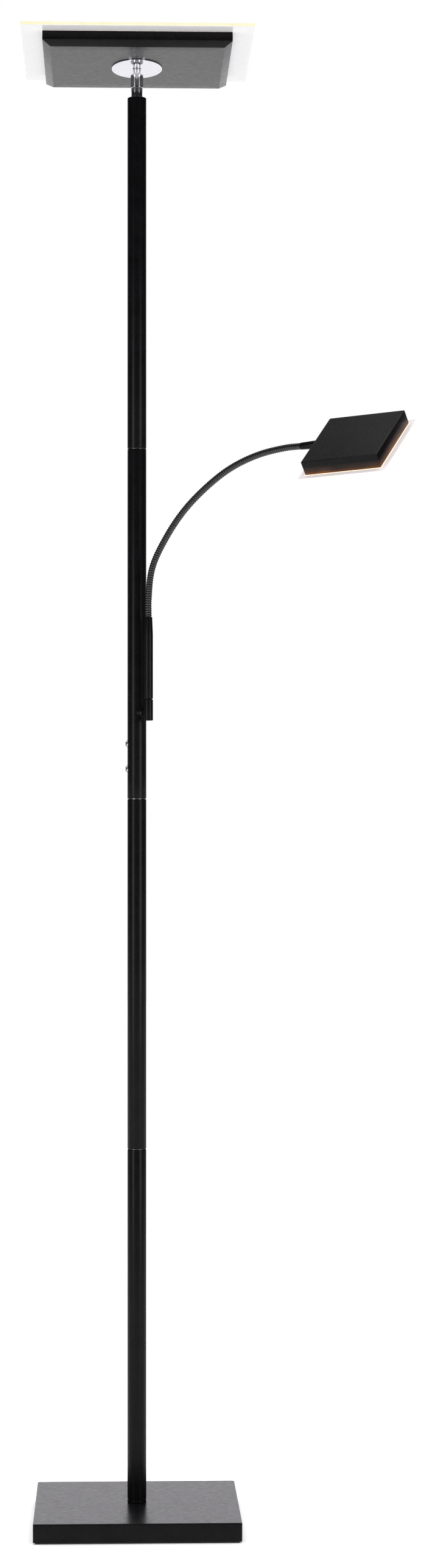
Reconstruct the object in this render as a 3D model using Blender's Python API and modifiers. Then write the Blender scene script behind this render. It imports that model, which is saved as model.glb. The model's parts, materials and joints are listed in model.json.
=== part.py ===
"""Square torchiere floor lamp with a gooseneck reading arm, as a bench assembly of separate pieces.

Metres, +Z up. The origin is the middle of the underside of the base pad, under the pole's axis.
The pole stands at x = y = 0, and the square base and the square uplighter line up with X and Y.
Pieces that touch keep a small gap, GAP. A piece that moves hangs from an empty on its joint.
"""

import math

import bmesh
import bpy
from mathutils import Matrix, Vector

GAP = 0.0003
SIDES = 24
SMALL_SIDES = 16
FEW_SIDES = 12
OVAL_SIDES = 40
CUT_PAST = 0.004

# Base
BASE_WIDTH = 0.250
BASE_HEIGHT = 0.024
COVER_WALL = 0.0015
COVER_EDGE_RADIUS = 0.002
PAD_THICKNESS = 0.0015
PAD_INSET = 0.003
WEIGHT_SIDE_PLAY = 0.001
DRIVER_SIZE = (0.096, 0.038, 0.014)
DRIVER_PLAY = 0.004
DRIVER_CORNER = 0.002
DRIVER_Y = 0.066
INLET_HEIGHT = 0.0115
INLET_RADIUS = 0.0045
INLET_FLANGE = 0.0015
INLET_FLANGE_THICKNESS = 0.0012
STUD_RADIUS = 0.005
STUD_BORE = 0.0032
FOOT_NUT_RADIUS = 0.0085
FOOT_NUT_HEIGHT = 0.005
NUT_RECESS_DEPTH = 0.008
WIRE_CHANNEL = 0.008

# Pole
POLE_RADIUS = 0.0117
POLE_WALL = 0.0012
POLE_TOP = 1.7521
POLE_SECTIONS = 4
POLE_END_CHAMFER = 0.0007
FOOT_RING_HEIGHT = 0.0034
INSERT_LENGTH = 0.018
COUPLER_LENGTH = 0.036
COUPLER_BORE = 0.007
CAP_FLANGE = 0.0011
CAP_PLUG = 0.014
WIRE_RADIUS = 0.0016

# Ball joint between the pole and the uplighter
SOCKET_BASE_RADIUS = 0.0070
SOCKET_BASE_HEIGHT = 0.0117
SOCKET_STUD_RADIUS = 0.0047
SOCKET_STUD_LENGTH = 0.012
SPIGOT_RADIUS = 0.0036
SPIGOT_HEIGHT = 0.0025
CUP_WALL = 0.00145
CUP_ROUNDING = 0.0016
CUP_HEIGHT = 0.0168
BALL_HEIGHT_IN_CUP = 0.0107
BALL_RADIUS = 0.0050
LINER_THICKNESS = 0.0008
LINER_CUT = 0.0022
BALL_PLAY = 0.0003
CUP_LIP_PLAY = 0.0007
NECK_RADIUS = 0.0030
NECK_LENGTH = 0.0080
SHANK_RADIUS = 0.00455
SHANK_HEIGHT = 0.0029
THREAD_RADIUS = 0.0039
THREAD_ABOVE_FLOOR = 0.0065
JOINT_BORE = 0.0016
COLLAR_RADIUS = 0.0052
COLLAR_HEIGHT = 0.0014
ROSETTE_SIZE = (0.062, 0.094)
ROSETTE_THICKNESS = 0.0010

# Uplighter
HEAD_WIDTH = 0.228
HEAD_CHAMFER_INSET = 0.0095
HEAD_CHAMFER_HEIGHT = 0.006
HEAD_WALL_HEIGHT = 0.0106
HEAD_SHEET = 0.0012
PLATE_OVERHANG = 0.02575
PLATE_THICKNESS = 0.004
PLATE_CORNER = 0.003
POST_INSET = 0.016
POST_RADIUS = 0.004
POST_TIP_RADIUS = 0.0024
POST_TIP_LENGTH = 0.006
POST_FLOOR = 0.002
REFLECTOR_INSET = 0.003
REFLECTOR_THICKNESS = 0.001
STRIP_WIDTH = 0.007
STRIP_THICKNESS = 0.0012
STRIP_INSET = 0.0085
HEAD_NUT_RADIUS = 0.0075
HEAD_NUT_HEIGHT = 0.004
SCREW_HEAD_RADIUS = 0.0030
SCREW_SHANK_RADIUS = 0.0012
SCREW_LENGTH = 0.0095
SCREW_HEAD_DEPTH = 0.0018

# Reading arm
ARM_HEIGHT = 0.9973
ARM_CLEARANCE = 0.0107
ARM_BEARING = math.radians(-60.0)
REACH_BEARING = math.radians(-31.5)
BOSS_FLANGE_RADIUS = 0.0070
BOSS_FLANGE_THICKNESS = 0.0023
BOSS_RADIUS = 0.0060
BOSS_NECK_RADIUS = 0.0040
BOSS_SHOULDER_PLAY = 0.0018
BOSS_NECK_DEPTH = 0.0021
BOSS_STUD_RADIUS = 0.0030
BOSS_STUD_DEPTH = 0.0070
BOSS_NUT_RADIUS = 0.0050
BOSS_NUT_THICKNESS = 0.0028
TUBE_RADIUS = 0.0056
TUBE_MOUTH_STEP = 0.0006
TUBE_TAPER = 0.0215
TUBE_LENGTH = 0.1004
TUBE_CHAMFER = 0.0007
KNUCKLE_BELOW = 0.0116
KNUCKLE_ABOVE = 0.0145
PIN_RADIUS = 0.0035
PIN_LENGTH = 0.023
TUBE_WIRE_BORE = 0.0022

# Gooseneck: headings above the horizon of the root, the seven links and the end, in degrees
HOSE_RADIUS = 0.0041
HOSE_LENGTH = 0.322
HOSE_HEADINGS = (90.0, 82.0, 61.5, 51.5, 41.0, 32.5, 20.5, 9.5, 2.0)
LINK_WALL = 0.0005
LINK_RIM = 0.0012
LINK_SHOULDER = 0.0024
HOSE_PLUG_LENGTH = 0.010

# Reading head
READER_WIDTH = 0.100
READER_HEIGHT = 0.0175
READER_SHEET = 0.0012
READER_ROLL = math.radians(37.8)
READER_AXIS_LIFT = 0.003
READER_OVERHANG = 0.0075
READER_PLATE_THICKNESS = 0.004
READER_BOARD_MARGIN = 0.014
BOARD_THICKNESS = 0.0016
FERRULE_LENGTH = 0.0205
FERRULE_STEP = 0.0002
FERRULE_END_RADIUS = 0.0050
FERRULE_SPIGOT_RADIUS = 0.0026
FERRULE_NUT_LENGTH = 0.0025

# Push buttons on the pole's left side
BUTTON_HEIGHTS = (0.958, 0.927)
BUTTON_RADIUS = 0.0036
BUTTON_RIM = 0.0003
BUTTON_DOME = 0.00085
BUTTON_TRAVEL = 0.0010
BUTTON_STEM_RADIUS = 0.0020
BUTTON_FLANGE_RADIUS = 0.0030
BUTTON_FLANGE_THICKNESS = 0.0006
BEZEL_RADIUS = 0.0046
BEZEL_PROUD = 0.0009
BEZEL_SINK = 0.0012
SWITCH_SIZE = (0.0022, 0.008, 0.008)
SWITCH_BOARD_THICKNESS = 0.0012
SWITCH_BOARD_MARGIN = 0.010
SWITCH_BOARD_CLEARANCE = 0.001

# Worked out from the sizes above
COVER_BOTTOM = PAD_THICKNESS + GAP
WEIGHT_TOP = BASE_HEIGHT - COVER_WALL - GAP
RING_BOTTOM = BASE_HEIGHT + GAP
POLE_BOTTOM = RING_BOTTOM + FOOT_RING_HEIGHT + GAP
POLE_BORE = POLE_RADIUS - POLE_WALL
SECTION_LENGTH = (POLE_TOP - POLE_BOTTOM - (POLE_SECTIONS - 1) * GAP) / POLE_SECTIONS
CAP_TOP = POLE_TOP + GAP + CAP_FLANGE
SOCKET_BOTTOM = CAP_TOP + GAP
CUP_BOTTOM = SOCKET_BOTTOM + SOCKET_BASE_HEIGHT + GAP
BALL_Z = CUP_BOTTOM + BALL_HEIGHT_IN_CUP
LINER_RADIUS = BALL_RADIUS + BALL_PLAY + LINER_THICKNESS
CUP_CAVITY = LINER_RADIUS + BALL_PLAY
CUP_RADIUS = CUP_CAVITY + CUP_WALL
CUP_LIP_RADIUS = BALL_RADIUS + CUP_LIP_PLAY
SHANK_TOP = BALL_Z + NECK_LENGTH + SHANK_HEIGHT
COLLAR_BOTTOM = SHANK_TOP + GAP
ROSETTE_BOTTOM = COLLAR_BOTTOM + COLLAR_HEIGHT + GAP
HEAD_BOTTOM = ROSETTE_BOTTOM + ROSETTE_THICKNESS + GAP
HEAD_FLOOR = HEAD_BOTTOM + HEAD_SHEET
HEAD_FACE_WIDTH = HEAD_WIDTH - 2 * HEAD_CHAMFER_INSET
PLATE_WIDTH = HEAD_WIDTH + 2 * PLATE_OVERHANG
HEAD_TOP = HEAD_BOTTOM + HEAD_CHAMFER_HEIGHT + HEAD_WALL_HEIGHT
PLATE_BOTTOM = HEAD_TOP + GAP
POST_SHOULDER = HEAD_TOP - POST_TIP_LENGTH
REFLECTOR_TOP = POST_SHOULDER + GAP + REFLECTOR_THICKNESS
ARM_OFFSET = POLE_RADIUS + ARM_CLEARANCE + TUBE_RADIUS
BOSS_FLANGE_END = POLE_RADIUS + BOSS_FLANGE_THICKNESS
KNUCKLE_BOTTOM = ARM_HEIGHT - KNUCKLE_BELOW
KNUCKLE_TOP = ARM_HEIGHT + KNUCKLE_ABOVE
TUBE_BOTTOM = KNUCKLE_TOP + GAP
TUBE_TOP = TUBE_BOTTOM + TUBE_LENGTH
TUBE_MOUTH_RADIUS = HOSE_RADIUS + TUBE_MOUTH_STEP
HOSE_START = TUBE_TOP + GAP
HOSE_PITCH = HOSE_LENGTH / (len(HOSE_HEADINGS) - 1)
LINK_BALL_RADIUS = HOSE_RADIUS - LINK_WALL
FERRULE_START_RADIUS = HOSE_RADIUS + FERRULE_STEP
FERRULE_NUT_RADIUS = READER_HEIGHT / 2 - READER_AXIS_LIFT - READER_SHEET - GAP
READER_PLATE_WIDTH = READER_WIDTH + 2 * READER_OVERHANG
READER_BOARD_WIDTH = READER_WIDTH - 2 * READER_BOARD_MARGIN
BEZEL_BORE = BUTTON_RADIUS + GAP

# Colour, roughness and metallic value of each kind of finish
FINISHES = {
    "black_coat": ((0.010, 0.010, 0.011), 0.30, 0.0),
    "chrome": ((0.80, 0.80, 0.83), 0.08, 1.0),
    "steel": ((0.50, 0.50, 0.52), 0.35, 1.0),
    "cast_iron": ((0.09, 0.09, 0.09), 0.70, 0.6),
    "pad_foam": ((0.03, 0.03, 0.03), 0.90, 0.0),
    "rubber": ((0.02, 0.02, 0.02), 0.75, 0.0),
    "acrylic": ((0.93, 0.91, 0.86), 0.25, 0.0),
    "white_plastic": ((0.85, 0.85, 0.83), 0.50, 0.0),
    "board": ((0.80, 0.82, 0.78), 0.45, 0.0),
    "black_plastic": ((0.015, 0.015, 0.016), 0.35, 0.0),
    "nylon": ((0.75, 0.74, 0.70), 0.45, 0.0),
    "wire": ((0.04, 0.04, 0.04), 0.55, 0.0),
}


def clear_scene():
    for thing in list(bpy.data.objects):
        bpy.data.objects.remove(thing, do_unlink=True)


def collection(name):
    made = bpy.data.collections.new(name)
    bpy.context.scene.collection.children.link(made)
    return made


def finish(name, kind):
    """A Principled material for one node."""
    colour, roughness, metallic = FINISHES[kind]
    material = bpy.data.materials.new(f"{name}_{kind}")
    material.use_nodes = True
    shader = material.node_tree.nodes["Principled BSDF"]
    shader.inputs["Base Color"].default_value = (*colour, 1.0)
    shader.inputs["Roughness"].default_value = roughness
    shader.inputs["Metallic"].default_value = metallic
    material.diffuse_color = (*colour, 1.0)
    return material


def place(name, mesh, kind, at=(0.0, 0.0, 0.0), turn=(0.0, 0.0, 0.0), parent=None):
    """Put a mesh in the lamp's collection as one node, or among the cutters if it has no finish."""
    thing = bpy.data.objects.new(name, mesh)
    if kind is None:
        CUTTERS.objects.link(thing)
        thing.hide_render = True
        thing.display_type = "WIRE"
    else:
        LAMP.objects.link(thing)
        mesh.materials.append(finish(name, kind))
    thing.parent = parent
    thing.location = at
    thing.rotation_euler = turn
    return thing


def empty(name, at=(0.0, 0.0, 0.0), turn=(0.0, 0.0, 0.0), parent=None):
    """An axis that pieces hang from."""
    thing = bpy.data.objects.new(name, None)
    LAMP.objects.link(thing)
    thing.empty_display_size = 0.02
    thing.parent = parent
    thing.location = at
    thing.rotation_euler = turn
    return thing


def box_mesh(name, boxes, corner=0.0):
    """Boxes, each given by its size and its centre, with their upright edges rounded by corner."""
    bm = bmesh.new()
    for size, centre in boxes:
        made = bmesh.ops.create_cube(bm, size=1.0)["verts"]
        bmesh.ops.scale(bm, vec=Vector(size), verts=made)
        if corner:
            edges = {e for v in made for e in v.link_edges}
            upright = [e for e in edges if abs(e.verts[0].co.z - e.verts[1].co.z) > size[2] / 2]
            bevelled = bmesh.ops.bevel(bm, geom=upright, offset=corner, segments=3, affect="EDGES")
            made = list({v for f in bevelled["faces"] for v in f.verts})
        bmesh.ops.translate(bm, vec=Vector(centre), verts=made)
    mesh = bpy.data.meshes.new(name)
    bm.to_mesh(mesh)
    bm.free()
    return mesh


def slab(name, kind, width, depth, bottom, top, corner=0.0, centre=(0.0, 0.0), parent=None):
    """A flat block between two heights."""
    size = (width, depth, top - bottom)
    mesh = box_mesh(name, [(size, (*centre, (bottom + top) / 2))], corner)
    return place(name, mesh, kind, parent=parent)


def turned_mesh(name, outline, closed):
    """A profile in the XZ plane, of (radius, height) points that run down its outer side."""
    points = [(radius, 0.0, height) for radius, height in outline]
    edges = [(i, i + 1) for i in range(len(points) - 1)]
    if closed:
        edges.append((len(points) - 1, 0))
    mesh = bpy.data.meshes.new(name)
    mesh.from_pydata(points, edges, [])
    return mesh


def turned(name, kind, outline, closed=False, sides=SIDES, at=(0, 0, 0), turn=(0, 0, 0), parent=None):
    """A turned piece; closed says that the outline is a loop round a bore."""
    thing = place(name, turned_mesh(name, outline, closed), kind, at, turn, parent)
    screw = thing.modifiers.new("turn", "SCREW")
    screw.steps = sides
    screw.render_steps = sides
    screw.use_merge_vertices = True
    screw.merge_threshold = 0.00001
    screw.use_smooth_shade = True
    return thing


def disc(radius, bottom, top, chamfer=0.0):
    """Profile of a solid disc or rod, with both rims chamfered."""
    if not chamfer:
        return [(0.0, top), (radius, top), (radius, bottom), (0.0, bottom)]
    rim = radius - chamfer
    side = [(radius, top - chamfer), (radius, bottom + chamfer)]
    return [(0.0, top), (rim, top), *side, (rim, bottom), (0.0, bottom)]


def sleeve(radius, bore, bottom, top, chamfer=0.0):
    """Closed profile of a tube or ring, with its outer rims chamfered."""
    inside = [(bore, bottom), (bore, top)]
    if not chamfer:
        return [(radius, top), (radius, bottom), *inside]
    rim = radius - chamfer
    return [(rim, top), (radius, top - chamfer), (radius, bottom + chamfer), (rim, bottom), *inside]


def arc(radius, start, end, steps, centre=0.0):
    """Points on a circle about (0, centre), from one elevation to another in degrees."""
    angles = [math.radians(start + (end - start) * i / steps) for i in range(steps + 1)]
    return [(radius * math.cos(a), centre + radius * math.sin(a)) for a in angles]


def elevation(radius, height):
    """The elevation in degrees of the point of a sphere at a height over its middle."""
    return math.degrees(math.asin(height / radius))


def cut(thing, cutter, operation="DIFFERENCE"):
    """Take the cutter's shape out of a piece, or join it on with UNION."""
    boolean = thing.modifiers.new("cut", "BOOLEAN")
    boolean.operation = operation
    boolean.solver = "EXACT"
    boolean.object = cutter


def drill(thing, radius, bottom, top, at=(0, 0, 0), turn=(0, 0, 0), parent=None):
    """Cut a round hole along the cutter's own Z."""
    name = f"{thing.name}_hole"
    cut(thing, turned(name, None, disc(radius, bottom, top), at=at, turn=turn, parent=parent))


def hexagon(name, radius, bore, bottom, top, at=(0, 0, 0), turn=(0, 0, 0), parent=None):
    """A hexagon nut, measured across its corners."""
    nut = turned(name, "steel", disc(radius, bottom, top), sides=6, at=at, turn=turn, parent=parent)
    drill(nut, bore, bottom - GAP, top + GAP, at, turn, parent)


def corners(distance):
    """The four corners of a square about the axis."""
    return [(x * distance, y * distance) for x in (-1, 1) for y in (-1, 1)]


def pattern(name, outline, spots, parent=None, sides=FEW_SIDES):
    """A cutter of several turned solids, one at each spot."""
    merged = bmesh.new()
    for x, y in spots:
        bm = bmesh.new()
        ring = [bm.verts.new((radius, 0.0, height)) for radius, height in outline]
        edges = [bm.edges.new(pair) for pair in zip(ring, ring[1:])]
        around = {"axis": (0, 0, 1), "cent": (0, 0, 0), "angle": math.tau}
        bmesh.ops.spin(bm, geom=[*ring, *edges], steps=sides, **around)
        bmesh.ops.remove_doubles(bm, verts=bm.verts, dist=0.00001)
        bmesh.ops.recalc_face_normals(bm, faces=bm.faces)
        bmesh.ops.translate(bm, vec=(x, y, 0.0), verts=bm.verts)
        one = bpy.data.meshes.new(name)
        bm.to_mesh(one)
        bm.free()
        merged.from_mesh(one)
        bpy.data.meshes.remove(one)
    mesh = bpy.data.meshes.new(name)
    merged.to_mesh(mesh)
    merged.free()
    return place(name, mesh, None, parent=parent)


def make_base():
    """Pad, cast weight, sheet cover, LED driver and cord inlet."""
    pad_width = BASE_WIDTH - 2 * PAD_INSET
    slab("base_pad", "pad_foam", pad_width, pad_width, 0.0, PAD_THICKNESS)

    cover = place("base_cover", open_box(BASE_WIDTH, COVER_BOTTOM, BASE_HEIGHT), "black_coat")
    round_edges(cover, COVER_EDGE_RADIUS)
    solidify(cover, COVER_WALL)
    drill(cover, STUD_RADIUS + GAP, 0.0, BASE_HEIGHT * 2)
    along_y = (math.radians(-90), 0, 0)
    rear = (0.0, BASE_WIDTH / 2, INLET_HEIGHT)
    drill(cover, INLET_RADIUS, -COVER_WALL * 3, COVER_WALL * 3, rear, along_y)

    make_weight()

    driver_top = COVER_BOTTOM + DRIVER_SIZE[2]
    place_at = (0.0, DRIVER_Y)
    slab("led_driver", "white_plastic", *DRIVER_SIZE[:2], COVER_BOTTOM, driver_top, DRIVER_CORNER, place_at)

    neck = INLET_RADIUS - GAP
    lip = INLET_RADIUS + INLET_FLANGE
    flange = INLET_FLANGE_THICKNESS
    outer = GAP + flange
    inner = -COVER_WALL - GAP
    outline = [
        (lip - GAP, outer), (lip, outer - GAP), (lip, GAP), (neck, GAP),
        (neck, inner), (lip, inner), (lip, inner - flange), (neck / 2, inner - flange),
        (neck / 2, outer),
    ]
    turned("inlet_grommet", "rubber", outline, True, SMALL_SIDES, rear, along_y)


def make_weight():
    """A cast slab with a nut recess, a pocket for the driver and channels for the wires, all open below."""
    width = BASE_WIDTH - 2 * (COVER_WALL + WEIGHT_SIDE_PLAY)
    weight = slab("base_weight", "cast_iron", width, width, COVER_BOTTOM, WEIGHT_TOP)
    drill(weight, STUD_RADIUS + GAP, 0.0, BASE_HEIGHT * 2)
    recess = FOOT_NUT_RADIUS + DRIVER_PLAY
    drill(weight, recess, 0.0, COVER_BOTTOM + NUT_RECESS_DEPTH)
    pocket_y = DRIVER_SIZE[1] + 2 * DRIVER_PLAY
    pocket_top = COVER_BOTTOM + DRIVER_SIZE[2] + GAP * 3
    channel = 2 * (INLET_RADIUS + INLET_FLANGE + 2 * GAP)
    channel_top = INLET_HEIGHT + channel / 2
    far_end = BASE_WIDTH / 2
    cuts = [
        ((DRIVER_SIZE[0] + 2 * DRIVER_PLAY, pocket_y, pocket_top), (0.0, DRIVER_Y, pocket_top / 2)),
        ((channel, far_end - DRIVER_Y, channel_top), (0.0, (far_end + DRIVER_Y) / 2, channel_top / 2)),
        ((WIRE_CHANNEL, DRIVER_Y, NUT_RECESS_DEPTH), (0.0, DRIVER_Y / 2, NUT_RECESS_DEPTH / 2)),
    ]
    for index, one in enumerate(cuts):
        cut(weight, place(f"base_weight_pocket_{index}", box_mesh("pocket", [one]), None))


def open_box(width, bottom, top):
    """A square box with no underside."""
    bm = bmesh.new()
    bmesh.ops.create_cube(bm, size=1.0)
    bmesh.ops.scale(bm, vec=(width, width, top - bottom), verts=bm.verts)
    bmesh.ops.translate(bm, vec=(0.0, 0.0, (bottom + top) / 2), verts=bm.verts)
    under = [f for f in bm.faces if f.normal.z < -0.5]
    bmesh.ops.delete(bm, geom=under, context="FACES_ONLY")
    mesh = bpy.data.meshes.new("open_box")
    bm.to_mesh(mesh)
    bm.free()
    return mesh


def round_edges(thing, radius, segments=1):
    bevel = thing.modifiers.new("round", "BEVEL")
    bevel.width = radius
    bevel.segments = segments
    bevel.limit_method = "ANGLE"


def solidify(thing, thickness):
    """Give an open surface a wall, on its inner side."""
    wall = thing.modifiers.new("wall", "SOLIDIFY")
    wall.thickness = thickness
    wall.offset = -1.0
    wall.use_even_offset = True


def make_foot():
    """The threaded stud that clamps the base to the pole, with its nut, ring and insert."""
    nut_top = COVER_BOTTOM + NUT_RECESS_DEPTH - GAP
    nut_bottom = nut_top - FOOT_NUT_HEIGHT
    hexagon("foot_nut", FOOT_NUT_RADIUS, STUD_RADIUS + GAP, nut_bottom, nut_top)
    insert_top = POLE_BOTTOM + INSERT_LENGTH
    stud = sleeve(STUD_RADIUS, STUD_BORE, nut_bottom - 5 * GAP, insert_top - 6 * GAP)
    turned("foot_stud", "steel", stud, True, SMALL_SIDES)
    ring_top = RING_BOTTOM + FOOT_RING_HEIGHT
    ring = sleeve(POLE_RADIUS, STUD_RADIUS + GAP, RING_BOTTOM, ring_top, POLE_END_CHAMFER / 2)
    turned("foot_ring", "black_coat", ring, True)
    insert = sleeve(POLE_BORE - GAP, STUD_RADIUS + GAP, POLE_BOTTOM, insert_top)
    turned("foot_insert", "steel", insert, True)


def make_pole():
    """Four tubes, the couplers that join them, the top cap and the supply wire inside."""
    sections = []
    for index in range(POLE_SECTIONS):
        bottom = POLE_BOTTOM + index * (SECTION_LENGTH + GAP)
        outline = sleeve(POLE_RADIUS, POLE_BORE, bottom, bottom + SECTION_LENGTH, POLE_END_CHAMFER)
        sections.append((bottom, turned(f"pole_section_{index + 1}", "black_coat", outline, True)))
        if index:
            low = bottom - COUPLER_LENGTH / 2
            outline = sleeve(POLE_BORE - GAP, COUPLER_BORE, low, low + COUPLER_LENGTH, POLE_END_CHAMFER)
            turned(f"pole_coupler_{index}", "steel", outline, True)

    plug = POLE_BORE - GAP
    bore = SOCKET_STUD_RADIUS + GAP
    low = POLE_TOP - CAP_PLUG
    rim = POLE_RADIUS - POLE_END_CHAMFER
    flange = POLE_TOP + GAP
    outline = [
        (rim, CAP_TOP), (POLE_RADIUS, CAP_TOP - POLE_END_CHAMFER), (POLE_RADIUS, flange),
        (plug, flange), (plug, low), (bore, low), (bore, CAP_TOP),
    ]
    turned("pole_top_cap", "black_coat", outline, True)

    wire_top = min(low, SOCKET_BOTTOM - SOCKET_STUD_LENGTH) - 5 * GAP
    wire = disc(WIRE_RADIUS, COVER_BOTTOM + 5 * GAP, wire_top)
    turned("pole_wire", "wire", wire, sides=FEW_SIDES)
    return sections


def drill_pole(sections, height, radius, bearing):
    """Cut a round hole through one side of whichever tube is at that height."""
    for bottom, section in sections:
        if bottom < height < bottom + SECTION_LENGTH:
            turn = (0.0, math.radians(90), bearing)
            drill(section, radius, POLE_BORE / 2, POLE_RADIUS * 2, (0.0, 0.0, height), turn)


def make_ball_joint(pivot):
    """Base, swivel cup and nylon liner, and the ball stud that carries the uplighter."""
    socket_top = SOCKET_BOTTOM + SOCKET_BASE_HEIGHT
    stud_low = SOCKET_BOTTOM - SOCKET_STUD_LENGTH
    edge = SOCKET_BASE_RADIUS - GAP
    outline = [
        (SPIGOT_RADIUS, socket_top + SPIGOT_HEIGHT - GAP), (SPIGOT_RADIUS, socket_top),
        (edge, socket_top), (SOCKET_BASE_RADIUS, socket_top - GAP), (SOCKET_BASE_RADIUS, SOCKET_BOTTOM + GAP),
        (edge, SOCKET_BOTTOM), (SOCKET_STUD_RADIUS, SOCKET_BOTTOM), (SOCKET_STUD_RADIUS, stud_low),
        (JOINT_BORE, stud_low), (JOINT_BORE, socket_top + SPIGOT_HEIGHT - GAP),
    ]
    turned("socket_base", "chrome", outline, True, SMALL_SIDES)

    lip_angle = elevation(CUP_CAVITY, math.sqrt(CUP_CAVITY**2 - CUP_LIP_RADIUS**2))
    bore_angle = -math.degrees(math.acos(JOINT_BORE / CUP_CAVITY))
    cup_top = CUP_BOTTOM + CUP_HEIGHT
    corner = (CUP_RADIUS - CUP_ROUNDING, cup_top - CUP_ROUNDING)
    rounded = [(corner[0] + x, corner[1] + y) for x, y in arc(CUP_ROUNDING, 90, 0, 3)]
    recess = SPIGOT_RADIUS + GAP
    recess_top = CUP_BOTTOM + SPIGOT_HEIGHT
    outline = [
        *arc(CUP_CAVITY, bore_angle, lip_angle, 5, BALL_Z), (CUP_LIP_RADIUS + GAP, cup_top), *rounded,
        (CUP_RADIUS, CUP_BOTTOM + GAP), (CUP_RADIUS - GAP, CUP_BOTTOM), (recess, CUP_BOTTOM),
        (recess, recess_top), (JOINT_BORE, recess_top),
    ]
    turned("socket_cup", "chrome", outline, True, SMALL_SIDES)

    inner = BALL_RADIUS + BALL_PLAY
    opening = 2 * JOINT_BORE
    low_in = -math.degrees(math.acos(opening / inner))
    low_out = -math.degrees(math.acos(opening / LINER_RADIUS))
    outline = [
        *arc(inner, low_in, elevation(inner, LINER_CUT), 4),
        *arc(LINER_RADIUS, elevation(LINER_RADIUS, LINER_CUT), low_out, 5),
    ]
    turned("ball_liner", "nylon", outline, True, SMALL_SIDES, (0.0, 0.0, BALL_Z))

    neck_angle = math.degrees(math.acos(NECK_RADIUS / BALL_RADIUS))
    bore_angle = -math.degrees(math.acos(JOINT_BORE / BALL_RADIUS))
    top = HEAD_FLOOR + THREAD_ABOVE_FLOOR - BALL_Z
    shank = NECK_LENGTH + SHANK_HEIGHT
    outline = [
        (THREAD_RADIUS, top), (THREAD_RADIUS, shank), (SHANK_RADIUS, shank), (SHANK_RADIUS, NECK_LENGTH),
        (NECK_RADIUS, NECK_LENGTH), *arc(BALL_RADIUS, neck_angle, bore_angle, 6), (JOINT_BORE, top),
    ]
    turned("ball_stud", "chrome", outline, True, SMALL_SIDES, parent=pivot)


def make_uplighter(pivot):
    """Everything above the ball: collar, rosette, housing, light parts and the acrylic plate."""
    base = -BALL_Z
    thread_hole = THREAD_RADIUS + GAP
    low = COLLAR_BOTTOM + base
    collar = sleeve(COLLAR_RADIUS, thread_hole, low, low + COLLAR_HEIGHT)
    turned("stud_collar", "chrome", collar, True, FEW_SIDES, parent=pivot)

    low = ROSETTE_BOTTOM + base
    oval = oval_mesh("rosette", ROSETTE_SIZE, low, low + ROSETTE_THICKNESS)
    rosette = place("rosette", oval, "chrome", parent=pivot)
    drill(rosette, thread_hole, low - CUT_PAST, low + CUT_PAST, parent=pivot)

    low = HEAD_BOTTOM + base
    housing = place("head_housing", tray_mesh("head_housing", low), "black_coat", parent=pivot)
    solidify(housing, HEAD_SHEET)
    drill(housing, thread_hole, low - CUT_PAST, low + CUT_PAST, parent=pivot)

    low = HEAD_FLOOR + GAP + base
    hexagon("head_nut", HEAD_NUT_RADIUS, thread_hole, low, low + HEAD_NUT_HEIGHT, parent=pivot)

    spots = corners(HEAD_WIDTH / 2 - POST_INSET)
    make_reflector(pivot, low, base, spots)
    make_led_board(pivot, REFLECTOR_TOP + GAP + base)
    low = PLATE_BOTTOM + base
    top = low + PLATE_THICKNESS
    plate = slab("light_plate", "acrylic", PLATE_WIDTH, PLATE_WIDTH, low, top, PLATE_CORNER, parent=pivot)
    screw_plate(plate, spots, low, top, pivot)


def make_reflector(pivot, floor, base, spots):
    """A white moulding: a flat sheet on four posts that stand on the tray's floor and carry the plate."""
    low = POST_SHOULDER + GAP + base
    high = REFLECTOR_TOP + base
    width = HEAD_WIDTH - 2 * (HEAD_SHEET + REFLECTOR_INSET)
    reflector = slab("head_reflector", "white_plastic", width, width, low, high, parent=pivot)
    tip = HEAD_TOP + base
    post = [
        (0.0, tip), (POST_TIP_RADIUS, tip), (POST_TIP_RADIUS, high - GAP), (POST_RADIUS, high - GAP),
        (POST_RADIUS, floor), (0.0, floor),
    ]
    cut(reflector, pattern("head_posts", post, spots, pivot), "UNION")
    bore = disc(SCREW_SHANK_RADIUS + GAP, floor + POST_FLOOR, tip + GAP)
    cut(reflector, pattern("head_post_bores", bore, spots, pivot))


def oval_mesh(name, size, bottom, top):
    """A flat oval plate."""
    bm = bmesh.new()
    bmesh.ops.create_cone(
        bm, cap_ends=True, segments=OVAL_SIDES, radius1=0.5, radius2=0.5, depth=top - bottom,
    )
    bmesh.ops.scale(bm, vec=(size[0], size[1], 1.0), verts=bm.verts)
    bmesh.ops.translate(bm, vec=(0.0, 0.0, (bottom + top) / 2), verts=bm.verts)
    mesh = bpy.data.meshes.new(name)
    bm.to_mesh(mesh)
    bm.free()
    return mesh


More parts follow.
